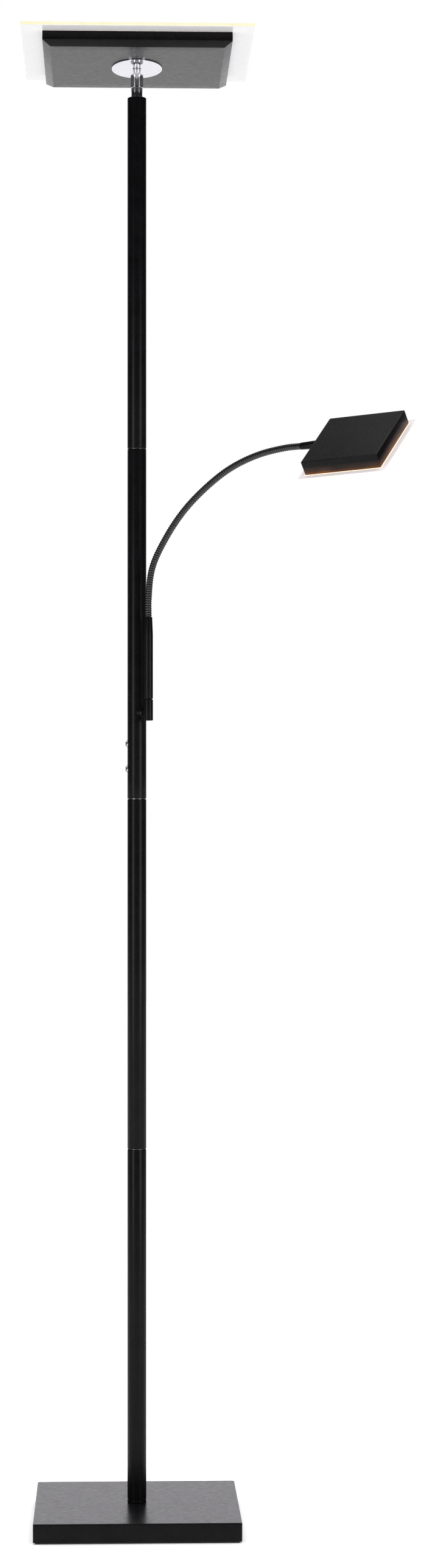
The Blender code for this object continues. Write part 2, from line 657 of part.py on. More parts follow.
def tray_mesh(name, bottom):
    """The open surface of the uplighter's housing: a flat face, a sloping chamfer and upright walls."""
    bm = bmesh.new()
    diagonal = math.sqrt(0.5)
    bmesh.ops.create_cone(
        bm, cap_ends=True, segments=4, radius1=HEAD_FACE_WIDTH * diagonal, radius2=HEAD_WIDTH * diagonal,
        depth=HEAD_CHAMFER_HEIGHT,
    )
    bmesh.ops.rotate(bm, matrix=Matrix.Rotation(math.radians(45), 3, "Z"), verts=bm.verts)
    bmesh.ops.translate(bm, vec=(0.0, 0.0, bottom + HEAD_CHAMFER_HEIGHT / 2), verts=bm.verts)
    lid = [f for f in bm.faces if f.normal.z > 0.9]
    rim = [e for f in lid for e in f.edges]
    bmesh.ops.delete(bm, geom=lid, context="FACES_ONLY")
    raised = bmesh.ops.extrude_edge_only(bm, edges=rim)["geom"]
    walls = [v for v in raised if isinstance(v, bmesh.types.BMVert)]
    bmesh.ops.translate(bm, vec=(0.0, 0.0, HEAD_WALL_HEIGHT), verts=walls)
    bmesh.ops.recalc_face_normals(bm, faces=bm.faces)
    if sum(f.normal.z for f in bm.faces) > 0:
        bmesh.ops.reverse_faces(bm, faces=bm.faces)
    mesh = bpy.data.meshes.new(name)
    bm.to_mesh(mesh)
    bm.free()
    return mesh


def make_led_board(pivot, bottom):
    """A square frame of circuit board along the tray's walls."""
    inner = HEAD_WIDTH - 2 * STRIP_INSET - STRIP_WIDTH
    outer = inner + 2 * STRIP_WIDTH
    top = bottom + STRIP_THICKNESS
    board = slab("head_led_board", "board", outer, outer, bottom, top, parent=pivot)
    opening = ((inner, inner, 4 * STRIP_THICKNESS), (0.0, 0.0, bottom))
    cut(board, place("head_led_board_opening", box_mesh("opening", [opening]), None, parent=pivot))


def screw_plate(plate, spots, bottom, top, parent):
    """Countersink a plate at each spot, and put a screw in it."""
    sink = SCREW_HEAD_DEPTH + GAP
    wide = SCREW_HEAD_RADIUS + GAP
    narrow = SCREW_SHANK_RADIUS + GAP
    clear = 5 * GAP
    hole = [
        (0.0, top + clear), (wide, top + clear), (wide, top), (narrow, top - sink), (narrow, bottom - clear),
        (0.0, bottom - clear),
    ]
    cut(plate, pattern("light_plate_holes", hole, spots, parent))
    screw = [
        (0.0, top - GAP), (SCREW_HEAD_RADIUS, top - GAP), (SCREW_SHANK_RADIUS, top - sink),
        (SCREW_SHANK_RADIUS, top - SCREW_LENGTH), (0.0, top - SCREW_LENGTH),
    ]
    for index, (x, y) in enumerate(spots):
        turned(f"plate_screw_{index + 1}", "steel", screw, sides=FEW_SIDES, at=(x, y, 0.0), parent=parent)


def make_bracket(sections):
    """Boss, stud and nut that hold the arm's knuckle to the pole, and the knuckle."""
    turn = (0.0, math.radians(90), ARM_BEARING)
    at = (0.0, 0.0, ARM_HEIGHT)
    shoulder = ARM_OFFSET - TUBE_RADIUS - BOSS_SHOULDER_PLAY
    tip = ARM_OFFSET - TUBE_RADIUS + BOSS_NECK_DEPTH
    inner = math.sqrt(POLE_RADIUS**2 - BOSS_FLANGE_RADIUS**2) - 4 * GAP
    flange = BOSS_FLANGE_END
    outline = [
        (0.0, tip), (BOSS_NECK_RADIUS, tip), (BOSS_NECK_RADIUS, shoulder), (BOSS_RADIUS - GAP, shoulder),
        (BOSS_RADIUS, shoulder - GAP), (BOSS_RADIUS, flange), (BOSS_FLANGE_RADIUS - GAP, flange),
        (BOSS_FLANGE_RADIUS, flange - GAP), (BOSS_FLANGE_RADIUS, inner), (0.0, inner),
    ]
    boss = turned("arm_boss", "black_coat", outline, sides=SMALL_SIDES, at=at, turn=turn)
    drill(boss, POLE_RADIUS + GAP, -ARM_OFFSET, ARM_OFFSET, at=at)
    stud_end = POLE_RADIUS + BOSS_STUD_DEPTH
    drill(boss, BOSS_STUD_RADIUS + GAP, 0.0, stud_end + GAP, at, turn)
    drill_pole(sections, ARM_HEIGHT, BOSS_STUD_RADIUS + GAP, ARM_BEARING)

    nut_out = math.sqrt(POLE_BORE**2 - BOSS_NUT_RADIUS**2) - 2 * GAP
    nut_in = nut_out - BOSS_NUT_THICKNESS
    hexagon("boss_nut", BOSS_NUT_RADIUS, BOSS_STUD_RADIUS + GAP, nut_in, nut_out, at, turn)
    stud = disc(BOSS_STUD_RADIUS, nut_in - 2 * GAP, stud_end)
    turned("boss_stud", "steel", stud, sides=SMALL_SIDES, at=at, turn=turn)

    outline = [
        (0.0, KNUCKLE_TOP + PIN_LENGTH), (PIN_RADIUS, KNUCKLE_TOP + PIN_LENGTH), (PIN_RADIUS, KNUCKLE_TOP),
        (TUBE_RADIUS - TUBE_CHAMFER, KNUCKLE_TOP), (TUBE_RADIUS, KNUCKLE_TOP - TUBE_CHAMFER),
        (TUBE_RADIUS, KNUCKLE_BOTTOM + TUBE_CHAMFER), (TUBE_RADIUS - TUBE_CHAMFER, KNUCKLE_BOTTOM),
        (0.0, KNUCKLE_BOTTOM),
    ]
    knuckle = turned("arm_knuckle", "black_coat", outline, at=arm_foot(), sides=SMALL_SIDES)
    drill(knuckle, BOSS_NECK_RADIUS + GAP, shoulder, tip + GAP, at, turn)


def arm_foot():
    return (ARM_OFFSET * math.cos(ARM_BEARING), ARM_OFFSET * math.sin(ARM_BEARING), 0.0)


def hose_joints():
    """Reach and height of each bending point of the gooseneck, and of its far end."""
    reach, height = 0.0, HOSE_START
    points = []
    for index, heading in enumerate(HOSE_HEADINGS):
        length = HOSE_PITCH / 2 if index in (0, len(HOSE_HEADINGS) - 1) else HOSE_PITCH
        reach += length * math.cos(math.radians(heading))
        height += length * math.sin(math.radians(heading))
        points.append((reach, height))
    return points


def link_ball(length):
    """Top of a link: a shoulder and a ball about the next bending point."""
    lowest = elevation(LINK_BALL_RADIUS, -LINK_SHOULDER)
    return [*arc(LINK_BALL_RADIUS, 90, lowest, 4, length), (HOSE_RADIUS, length - LINK_SHOULDER)]


def link_cup():
    """Foot of a link: a rim round a hollow that sits over the ball below."""
    hollow = LINK_BALL_RADIUS + GAP
    return [(HOSE_RADIUS, LINK_RIM), *arc(hollow, elevation(hollow, LINK_RIM), 90, 3)]


def make_arm():
    """The upright tube and the gooseneck, link by link. Returns the empty at the neck's far end."""
    arm = empty("arm_axis", arm_foot(), (0.0, 0.0, REACH_BEARING))
    bore = PIN_RADIUS + GAP
    bore_top = KNUCKLE_TOP + PIN_LENGTH + GAP
    outline = [
        (TUBE_MOUTH_RADIUS - GAP, TUBE_TOP), (TUBE_MOUTH_RADIUS, TUBE_TOP - GAP),
        (TUBE_RADIUS, TUBE_TOP - TUBE_TAPER), (TUBE_RADIUS, TUBE_BOTTOM + TUBE_CHAMFER),
        (TUBE_RADIUS - TUBE_CHAMFER, TUBE_BOTTOM), (bore, TUBE_BOTTOM),
        (bore, bore_top), (TUBE_WIRE_BORE, bore_top), (TUBE_WIRE_BORE, TUBE_TOP),
    ]
    turned("arm_tube", "black_coat", outline, True, SMALL_SIDES, parent=arm)

    plug = TUBE_WIRE_BORE - GAP
    first = HOSE_START + HOSE_PITCH / 2
    low = HOSE_START - HOSE_PLUG_LENGTH
    outline = [*link_ball(first), (HOSE_RADIUS, HOSE_START), (plug, HOSE_START), (plug, low), (0.0, low)]
    turned("hose_root", "black_coat", outline, sides=FEW_SIDES, parent=arm)

    joints = hose_joints()
    last = len(HOSE_HEADINGS) - 1
    for index in range(1, last):
        reach, height = joints[index - 1]
        turn = (0.0, math.radians(90 - HOSE_HEADINGS[index]), 0.0)
        outline = [*link_ball(HOSE_PITCH), *link_cup()]
        at = (reach, 0.0, height)
        turned(f"hose_link_{index}", "black_coat", outline, sides=FEW_SIDES, at=at, turn=turn, parent=arm)

    reach, height = joints[last - 1]
    half = HOSE_PITCH / 2
    turn = (0.0, math.radians(90 - HOSE_HEADINGS[last]), 0.0)
    neck = empty("neck_end_axis", (reach, 0.0, height), turn, arm)
    outline = [(0.0, half), (HOSE_RADIUS, half), *link_cup()]
    turned("hose_end", "black_coat", outline, sides=FEW_SIDES, parent=neck)

    start = half + GAP
    end = start + FERRULE_LENGTH
    spigot_end = end + GAP + READER_SHEET + GAP + FERRULE_NUT_LENGTH + 2 * GAP
    outline = [
        (0.0, spigot_end), (FERRULE_SPIGOT_RADIUS, spigot_end), (FERRULE_SPIGOT_RADIUS, end),
        (FERRULE_END_RADIUS - GAP, end), (FERRULE_END_RADIUS, end - GAP), (FERRULE_START_RADIUS, start),
        (0.0, start),
    ]
    turned("read_ferrule", "black_coat", outline, sides=SMALL_SIDES, parent=neck)
    low = end + 2 * GAP + READER_SHEET
    bore = FERRULE_SPIGOT_RADIUS + GAP
    hexagon("ferrule_nut", FERRULE_NUT_RADIUS, bore, low, low + FERRULE_NUT_LENGTH, parent=neck)

    turn = (READER_ROLL, math.radians(-HOSE_HEADINGS[last]), 0.0)
    far = math.radians(HOSE_HEADINGS[last])
    at = (reach + end * math.cos(far), 0.0, height + end * math.sin(far))
    return empty("reader_axis", at, turn, arm)


def make_reader(reader):
    """The reading head, in its own frame: the ferrule comes in along X, and Z is up through the lid."""
    top = READER_HEIGHT / 2 - READER_AXIS_LIFT
    bottom = top - READER_HEIGHT
    middle = (GAP + READER_WIDTH / 2, 0.0)
    mesh = open_box(READER_WIDTH, bottom, top)
    housing = place("read_housing", mesh, "black_coat", at=(*middle, 0.0), parent=reader)
    solidify(housing, READER_SHEET)
    along_x = (0.0, math.radians(90), 0.0)
    drill(housing, FERRULE_SPIGOT_RADIUS + GAP, -CUT_PAST, CUT_PAST, turn=along_x, parent=reader)

    lid = top - READER_SHEET - GAP
    board_low = lid - BOARD_THICKNESS
    width = READER_BOARD_WIDTH
    slab("read_led_board", "board", width, width, board_low, lid, centre=middle, parent=reader)
    high = bottom - GAP
    low = high - READER_PLATE_THICKNESS
    width = READER_PLATE_WIDTH
    slab("read_plate", "acrylic", width, width, low, high, PLATE_CORNER, middle, reader)


def make_buttons(sections):
    """Two push buttons with their bezels, switches and board. Each button's own Z points out of the pole."""
    out = math.pi
    turn = (0.0, math.radians(90), out)
    under = POLE_RADIUS + GAP + BUTTON_TRAVEL
    rim = under + BUTTON_RIM
    flat = math.sqrt(POLE_BORE**2 - BUTTON_FLANGE_RADIUS**2) - 2 * GAP
    flange = flat - BUTTON_FLANGE_THICKNESS
    stem_end = flange - GAP
    dome = [
        (BUTTON_RADIUS * math.sin(angle), rim + BUTTON_DOME * math.cos(angle))
        for angle in (0.0, math.pi / 6, math.pi / 3, math.pi / 2)
    ]
    profile = [
        *dome, (BUTTON_RADIUS, under), (BUTTON_STEM_RADIUS, under), (BUTTON_STEM_RADIUS, flat),
        (BUTTON_FLANGE_RADIUS, flat), (BUTTON_FLANGE_RADIUS, flange), (BUTTON_STEM_RADIUS, flange),
        (BUTTON_STEM_RADIUS, stem_end), (0.0, stem_end),
    ]
    switch_out = stem_end - BUTTON_TRAVEL - GAP
    switches = []
    for name, height in zip(("upper", "lower"), BUTTON_HEIGHTS):
        at = (0.0, 0.0, height)
        turned(f"button_{name}", "black_plastic", profile, sides=SMALL_SIDES, at=at, turn=turn)
        drill_pole(sections, height, BUTTON_STEM_RADIUS + GAP, out)
        bezel_top = POLE_RADIUS + BEZEL_PROUD
        ring = sleeve(BEZEL_RADIUS, BEZEL_BORE, POLE_RADIUS - BEZEL_SINK, bezel_top, GAP)
        bezel = turned(f"button_bezel_{name}", "steel", ring, True, SMALL_SIDES, at, turn)
        drill(bezel, POLE_RADIUS + GAP, -POLE_RADIUS, POLE_RADIUS, at=at)
        depth = SWITCH_SIZE[0]
        switches.append((SWITCH_SIZE, (-(switch_out - depth / 2), 0.0, height)))
    board_out = switch_out - SWITCH_SIZE[0] + GAP
    span = abs(BUTTON_HEIGHTS[0] - BUTTON_HEIGHTS[1]) + 2 * SWITCH_BOARD_MARGIN
    middle = sum(BUTTON_HEIGHTS) / 2
    half = math.sqrt(POLE_BORE**2 - board_out**2) - SWITCH_BOARD_CLEARANCE
    size = (SWITCH_BOARD_THICKNESS, 2 * half, span)
    centre = (-(board_out - SWITCH_BOARD_THICKNESS / 2), 0.0, middle)
    board = place("switch_board", box_mesh("switch_board", [(size, centre)]), "board")
    for index, switch in enumerate(switches):
        cut(board, place(f"switch_{index}", box_mesh("switch", [switch]), None), "UNION")


def main():
    make_base()
    make_foot()
    sections = make_pole()
    ball_axis = empty("ball_axis", (0.0, 0.0, BALL_Z))
    make_ball_joint(ball_axis)
    make_uplighter(ball_axis)
    make_bracket(sections)
    make_reader(make_arm())
    make_buttons(sections)


clear_scene()
LAMP = collection("torchiere_floor_lamp")
CUTTERS = collection("cutters")
main()
bpy.context.view_layer.update()
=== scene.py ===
"""Looks of a square torchiere floor lamp with a gooseneck reading arm, built round its CAD frame.

Metres, +Z up, in the frame's own axes. The lamp's front faces -Y. Sizes come from the frame's boxes
and joints; what the frame doesn't say, such as an edge's rounding, is named below.
"""

import json
import math

import bmesh
import bpy
from mathutils import Matrix, Vector


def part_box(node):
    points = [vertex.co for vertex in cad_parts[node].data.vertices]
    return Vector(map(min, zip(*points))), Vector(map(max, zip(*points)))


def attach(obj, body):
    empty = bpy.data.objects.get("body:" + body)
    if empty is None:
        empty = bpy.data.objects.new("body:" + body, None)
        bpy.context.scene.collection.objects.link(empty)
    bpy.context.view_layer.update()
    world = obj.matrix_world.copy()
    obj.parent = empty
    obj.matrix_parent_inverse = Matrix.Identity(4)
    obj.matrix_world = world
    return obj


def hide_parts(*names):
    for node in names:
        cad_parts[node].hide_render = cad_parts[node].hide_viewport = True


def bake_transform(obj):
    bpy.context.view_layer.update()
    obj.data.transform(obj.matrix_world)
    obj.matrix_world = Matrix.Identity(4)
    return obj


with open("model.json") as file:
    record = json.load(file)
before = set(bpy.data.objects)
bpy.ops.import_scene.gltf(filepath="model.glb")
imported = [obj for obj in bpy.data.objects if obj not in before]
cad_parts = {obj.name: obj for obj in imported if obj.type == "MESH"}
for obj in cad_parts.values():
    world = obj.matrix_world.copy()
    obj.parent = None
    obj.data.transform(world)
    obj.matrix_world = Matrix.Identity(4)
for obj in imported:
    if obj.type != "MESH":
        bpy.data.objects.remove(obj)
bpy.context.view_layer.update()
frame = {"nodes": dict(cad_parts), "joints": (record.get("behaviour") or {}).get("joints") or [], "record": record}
NODES = frame["nodes"]
JOINTS = {joint["name"]: joint for joint in frame["joints"]}

UP = Vector((0.0, 0.0, 1.0))
GAP = 0.0003
ROUND_SIDES = 64

# Camera
CAMERA_PLACE = (-0.0302, -3.898, 0.8482)
CAMERA_TURN = math.radians(-1.94)
CAMERA_LENS = 72.6
CAMERA_SHIFT = 0.0312

# Studio
STUDIO_MIDDLE = (0.0, 0.0, 0.95)
SOFTBOX_OFFSET = 1.9
SOFTBOX_HEIGHT = 1.0
SOFTBOX_SIZE = (0.8, 1.3)
CEILING_HEIGHT = 3.6
CEILING_SIZE = (4.0, 4.0)
AREA_POWER = 20.0
OVERHEAD_POWER = 1.1
OVERHEAD_SPREAD = math.radians(60.0)
FLOOR_HALF = 12.0
FLOOR_DROP = 0.0002

# What the lamp mirrors: dark in front of it, bright behind it
MIRRORED_DARK = 0.02
MIRRORED_BRIGHT = 1.60
MIRRORED_START = 0.62
MIRRORED_END = 0.96
MIRRORED_TINT = (0.975, 0.955, 1.0, 1.0)

# Sheet and tube thicknesses, and how far edges are rounded
SHEET = 0.0012
POLE_WALL = 0.0012
COVER_WALL = 0.0015
COVER_ROUNDING = 0.0018
COVER_CORNER = 0.0022
COVER_TOP_START = 0.004
BUSH_FLANGE = 0.0015
BUSH_ROUNDING = 0.0005
POLE_CHAMFER = 0.0007
CAP_ROUNDING = 0.00025
CORNER_ROUNDING = 0.0006

# Uplighter's housing, with the half-width of its flat underside and the height of its chamfer
HOUSING_FACE = 0.1045
HOUSING_RISE = 0.006
HOUSING_CORNER = 0.0008

# Acrylic plates
PLATE_CORNER = 0.003
PLATE_ROUNDING = 0.0005
PLATE_RIM = 0.006
SEAM_GLOW = 0.0013
GLOW_REACH = 0.026

# Screws of the uplighter's plate
SCREW_SINK = 0.0018
SCREW_SHANK = 0.0012
SCREW_SOCKET = 0.0013
SCREW_OVERCUT = 0.002

# Bracket and arm tube
BOSS_TIP = 0.0040
BOSS_TIP_REACH = 0.0021
BOSS_SHOULDER_GAP = 0.0018
BOSS_FLANGE = 0.0023
BOSS_STEP = 0.0010
BOSS_BORE = 0.0030
BOSS_BORE_DEPTH = 0.0070
BOSS_ROUNDING = 0.0004
KNUCKLE_PIN = 0.0035
KNUCKLE_ROUNDING = 0.00025
ARM_CHAMFER = 0.0007
ARM_MOUTH = 0.0047
ARM_BORE = 0.0022
ARM_TAPER = 0.0215
ARM_ROUNDING = 0.0003

# Gooseneck
RIBS_PER_LINK = 14
RIB_DEPTH = 0.00055
RIB_PROFILE = (-1.0, -0.86, -0.5, 0.0, 0.5, 0.86)
HOSE_SIDES = 24
CURVE_STEPS = 24

# Reading head, with the ferrule that carries it
READER_ROLL = math.radians(37.8)
READER_HALF = 0.050
READER_HEIGHT = 0.0175
READER_TOP = 0.00575
READER_OVERHANG = 0.0075
READER_PLATE = 0.004
READER_LIP = 0.004
READER_CORNER = 0.0014
# Share of the reading housing's height that its painted glow of the plate's light climbs
READER_PAINTED_GLOW = 0.62
FERRULE_LENGTH = 0.0205
FERRULE_START = 0.0043
FERRULE_END = 0.0050
FERRULE_SPIGOT = 0.0026
FERRULE_NUT = 0.0025
FERRULE_ROUNDING = 0.0003

# Lights of the uplighter
LED_PITCH = 0.023
STRIP_WIDTH = 0.007
LED_SIDE = 0.0030
LED_HEIGHT = 0.0008

# Buttons
BUTTON_NODES = ("button_upper", "button_lower")
BUTTON_STEM = 0.0020
BUTTON_DOME = 0.00085
BUTTON_UNDERCUT = 0.0003
BEZEL_SINK = 0.0012
BEZEL_ROUNDING = 0.0003

# Ball joint
SOCKET_STUD = 0.0047
SOCKET_SPIGOT = 0.0036
SOCKET_ROUNDING = 0.0004
WIRE_BORE = 0.0016
CUP_CAVITY = 0.0064
CUP_MOUTH = 0.0060
CUP_OPENING = 0.0057
CUP_SHOULDER = 0.0016
BALL_RADIUS = 0.0050
PIN_NECK = 0.0030
PIN_SHANK = 0.00455
PIN_SHANK_LENGTH = 0.0029
PIN_THREAD = 0.0039
COLLAR_ROUNDING = 0.0003
MERGE_DISTANCE = 0.000001


# Materials

def add_node(tree, kind, **values):
    """A new shader node, with its own settings, such as its operation, given by name."""
    made = tree.nodes.new(kind)
    for key, value in values.items():
        setattr(made, key, value)
    return made


def noise(tree, scale, detail=2.0, distortion=0.0, stretch=(1.0, 1.0, 1.0)):
    """Noise in the piece's own metres."""
    where = add_node(tree, "ShaderNodeTexCoord")
    mapping = add_node(tree, "ShaderNodeMapping")
    mapping.inputs["Scale"].default_value = stretch
    made = add_node(tree, "ShaderNodeTexNoise")
    made.inputs["Scale"].default_value = scale
    made.inputs["Detail"].default_value = detail
    made.inputs["Distortion"].default_value = distortion
    tree.links.new(where.outputs["Object"], mapping.inputs["Vector"])
    tree.links.new(mapping.outputs["Vector"], made.inputs["Vector"])
    return made.outputs["Fac"]


def ramp(tree, source, dark, light, low=0.3, high=0.7):
    """A value turned into a colour between two others."""
    made = add_node(tree, "ShaderNodeValToRGB")
    made.color_ramp.elements[0].position = low
    made.color_ramp.elements[0].color = (*dark, 1.0)
    made.color_ramp.elements[1].position = high
    made.color_ramp.elements[1].color = (*light, 1.0)
    tree.links.new(source, made.inputs["Fac"])
    return made.outputs["Color"]


def spread(tree, source, low, high, start=0.3, end=0.7, kind="LINEAR"):
    """A value moved from one range to another."""
    made = add_node(tree, "ShaderNodeMapRange", interpolation_type=kind)
    made.inputs["From Min"].default_value = start
    made.inputs["From Max"].default_value = end
    made.inputs["To Min"].default_value = low
    made.inputs["To Max"].default_value = high
    tree.links.new(source, made.inputs["Value"])
    return made.outputs["Result"]


def sums(tree, operation, first, second=None):
    """One step of arithmetic on sockets or plain numbers."""
    made = add_node(tree, "ShaderNodeMath", operation=operation)
    for slot, value in zip(made.inputs, (first, second)):
        if value is None:
            continue
        if isinstance(value, (int, float)):
            slot.default_value = value
        else:
            tree.links.new(value, slot)
    return made.outputs["Value"]


def surface(
    name, dark, light, rough, metallic=0.0, patch=60.0, grain=1500.0, relief=0.0000012, coat=0.0,
    stretch=(1.0, 1.0, 1.0), ior=1.5,
):
    """Patches of two close colours and two roughnesses, over a fine relief."""
    material = bpy.data.materials.new(name)
    material.use_nodes = True
    tree = material.node_tree
    shader = tree.nodes["Principled BSDF"]
    shader.inputs["Metallic"].default_value = metallic
    shader.inputs["IOR"].default_value = ior
    if coat:
        shader.inputs["Coat Weight"].default_value = coat
        shader.inputs["Coat Roughness"].default_value = 0.12
    patches = noise(tree, patch, 4.0, 0.3)
    tree.links.new(ramp(tree, patches, dark, light), shader.inputs["Base Color"])
    smears = noise(tree, patch * 3.0, 3.0, 0.6)
    tree.links.new(spread(tree, smears, *rough), shader.inputs["Roughness"])
    bump = add_node(tree, "ShaderNodeBump")
    bump.inputs["Distance"].default_value = relief
    bump.inputs["Strength"].default_value = 0.6
    tree.links.new(noise(tree, grain, 2.0, 0.0, stretch), bump.inputs["Height"])
    tree.links.new(bump.outputs["Normal"], shader.inputs["Normal"])
    return material


def lit_acrylic(name, seam, glow, hot, pitch, body, dim=1.0, edge=False):
    """Acrylic lit from a housing of half-width seam: brightest at the seam, dimmer between the lamps."""
    light = tuple(value * 1.05 for value in body)
    material = surface(name, body, light, (0.16, 0.24), grain=900.0, relief=0.000002)
    tree = material.node_tree
    shader = tree.nodes["Principled BSDF"]
    where = add_node(tree, "ShaderNodeTexCoord")
    split = add_node(tree, "ShaderNodeSeparateXYZ")
    tree.links.new(where.outputs["Object"], split.inputs["Vector"])
    across = sums(tree, "ABSOLUTE", split.outputs["X"])
    along = sums(tree, "ABSOLUTE", split.outputs["Y"])
    out = sums(tree, "SUBTRACT", sums(tree, "MAXIMUM", across, along), seam)
    side = sums(tree, "MINIMUM", across, along)
    wave = sums(tree, "COSINE", sums(tree, "MULTIPLY", side, math.tau / pitch))
    dots = spread(tree, wave, dim, 1.0, 0.86, 1.0, "SMOOTHSTEP")
    near = spread(tree, sums(tree, "ABSOLUTE", out), 1.0, 0.0, 0.0, SEAM_GLOW, "SMOOTHSTEP")
    fade = spread(tree, out, glow, glow * 0.35, 0.0, GLOW_REACH, "SMOOTHSTEP")
    lamps = sums(tree, "MULTIPLY", sums(tree, "MULTIPLY", dots, near), hot)
    total = sums(tree, "ADD", fade, lamps)
    cloud = spread(tree, noise(tree, 25.0), 0.94, 1.06)
    tree.links.new(sums(tree, "MULTIPLY", total, cloud), shader.inputs["Emission Strength"])
    warm = ramp(tree, near, (1.0, 0.93, 0.90), (1.0, 0.76, 0.46), 0.0, 1.0)
    if edge:
        warm = ramp(tree, noise(tree, 40.0), (1.0, 0.76, 0.40), (1.0, 0.87, 0.62))
    tree.links.new(warm, shader.inputs["Emission Color"])
    return material


BLACK_LOOK = ((0.0022, 0.0019, 0.0023), (0.0040, 0.0035, 0.0041), (0.26, 0.33))
COAT_IOR = 1.2


def painted_glow_coat(name, rim, reach):
    """The black coat with a painted glow of warm lamp light, which the coat emits itself, strongest at the rim
    next to the acrylic.
    """
    material = surface(name, *BLACK_LOOK, ior=COAT_IOR)
    tree = material.node_tree
    shader = tree.nodes["Principled BSDF"]
    where = add_node(tree, "ShaderNodeTexCoord")
    split = add_node(tree, "ShaderNodeSeparateXYZ")
    tree.links.new(where.outputs["Object"], split.inputs["Vector"])
    # Painted glow: emission on the black coat, fading up from the rim in a patchy warm colour
    near = spread(tree, split.outputs["Z"], 1.0, 0.0, rim, rim + reach)
    cloud = spread(tree, noise(tree, 28.0, 1.0), 0.35, 1.0)
    tree.links.new(sums(tree, "MULTIPLY", near, cloud), shader.inputs["Emission Strength"])
    warm = ramp(tree, near, (0.115, 0.062, 0.040), (0.34, 0.115, 0.022), 0.60, 1.0)
    tree.links.new(warm, shader.inputs["Emission Color"])
    return material


BLACK = surface("black_coat", *BLACK_LOOK, ior=COAT_IOR)
HOSE_BLACK = surface("hose_coat", (0.0035, 0.0033, 0.0036), (0.0060, 0.0056, 0.0062), (0.24, 0.34))
POLISH = 0.0000008
CHROME = surface("chrome_plate", (0.50, 0.49, 0.52), (0.56, 0.55, 0.58), (0.10, 0.16), 1.0, relief=POLISH)
MIRROR = surface("rosette_plate", (0.56, 0.56, 0.61), (0.61, 0.61, 0.66), (0.07, 0.13), 1.0, relief=POLISH)
STEEL = surface("zinc_steel", (0.44, 0.45, 0.47), (0.56, 0.56, 0.57), (0.28, 0.42), 1.0, patch=180.0)
IRON = surface(
    "raw_casting", (0.06, 0.06, 0.06), (0.11, 0.10, 0.10), (0.6, 0.8), 0.6, grain=700.0, relief=0.00006,
)
FOAM = surface("pad_foam", (0.022, 0.022, 0.022), (0.038, 0.038, 0.037), (0.85, 0.95), relief=0.00008)
RUBBER = surface("moulded_rubber", (0.017, 0.017, 0.017), (0.024, 0.024, 0.024), (0.6, 0.75))
WHITE = surface("white_moulding", (0.82, 0.82, 0.80), (0.87, 0.87, 0.85), (0.45, 0.55))
BOARD = surface("solder_resist", (0.76, 0.79, 0.75), (0.83, 0.84, 0.80), (0.38, 0.5), patch=220.0)
GLOSS = surface("button_plastic", (0.012, 0.012, 0.013), (0.017, 0.017, 0.018), (0.16, 0.24), coat=0.3)
NYLON = surface("natural_nylon", (0.72, 0.71, 0.66), (0.78, 0.77, 0.73), (0.4, 0.5))
WIRE = surface(
    "wire_sheath", (0.035, 0.035, 0.035), (0.045, 0.045, 0.045), (0.5, 0.6), stretch=(1.0, 1.0, 0.1),
)

CAD_MATERIALS = {
    "black_coat": BLACK, "chrome": CHROME, "steel": STEEL, "cast_iron": IRON, "pad_foam": FOAM,
    "rubber": RUBBER, "acrylic": WHITE, "white_plastic": WHITE, "board": BOARD, "black_plastic": GLOSS,
    "nylon": NYLON, "wire": WIRE,
}


# Shapes

def soften(outline, radius, closed=False, steps=3):
    """An outline with its corners rounded."""
    made = []
    last = len(outline) - 1
    for index, corner in enumerate(outline):
        if not closed and index in (0, last):
            made.append(tuple(corner))
            continue
        here = Vector(corner)
        before = Vector(outline[index - 1]) - here
        after = Vector(outline[(index + 1) % len(outline)]) - here
        reach = min(radius, before.length * 0.4, after.length * 0.4)
        start = here + before.normalized() * reach
        end = here + after.normalized() * reach
        for step in range(steps + 1):
            t = step / steps
            made.append(tuple(start * (1 - t) ** 2 + here * 2 * t * (1 - t) + end * t**2))
    return made


def finish_mesh(name, bm, material, place=Matrix(), angle=35.0):
    """A shaded piece made from a bmesh, which is used up."""
    bmesh.ops.recalc_face_normals(bm, faces=bm.faces)
    mesh = bpy.data.meshes.new(name)
    bm.to_mesh(mesh)
    bm.free()
    shade(mesh, angle)
    mesh.materials.append(material)
    thing = bpy.data.objects.new(name, mesh)
    bpy.context.scene.collection.objects.link(thing)
    thing.matrix_world = place
    return thing


def shade(mesh, angle=35.0):
    """Smooth, but for edges sharper than an angle in degrees."""
    mesh.shade_smooth()
    mesh.set_sharp_from_angle(angle=math.radians(angle))


def lathe(name, outline, material, place=Matrix(), closed=False, sides=ROUND_SIDES):
    """A turned piece about its own Z, from (radius, height) points."""
    bm = bmesh.new()
    ring = [bm.verts.new((radius, 0.0, height)) for radius, height in outline]
    edges = [bm.edges.new(pair) for pair in zip(ring, ring[1:])]
    if closed:
        edges.append(bm.edges.new((ring[-1], ring[0])))
    bmesh.ops.spin(bm, geom=[*ring, *edges], angle=math.tau, steps=sides, axis=UP, cent=(0, 0, 0))
    bmesh.ops.remove_doubles(bm, verts=bm.verts, dist=MERGE_DISTANCE)
    return finish_mesh(name, bm, material, place)


def square_ring(half, corner, steps=4):
    """A rounded square, anticlockwise."""
    middle = half - corner
    points = []
    for quarter, (x, y) in enumerate(((1, 1), (-1, 1), (-1, -1), (1, -1))):
        for step in range(steps + 1):
            angle = math.radians(90.0 * (quarter + step / steps))
            points.append((x * middle + corner * math.cos(angle), y * middle + corner * math.sin(angle)))
    return points


def square_loft(name, outline, corner, material, place=Matrix()):
    """A closed body of rounded squares, from (half-width, height) points, flat at both ends."""
    bm = bmesh.new()
    rings = []
    for half, height in outline:
        rings.append([bm.verts.new((x, y, height)) for x, y in square_ring(half, corner)])
    for low, high in zip(rings, rings[1:]):
        for index in range(len(low)):
            after = (index + 1) % len(low)
            bm.faces.new((low[index], low[after], high[after], high[index]))
    bm.faces.new(rings[0][::-1])
    bm.faces.new(rings[-1])
    return finish_mesh(name, bm, material, place)


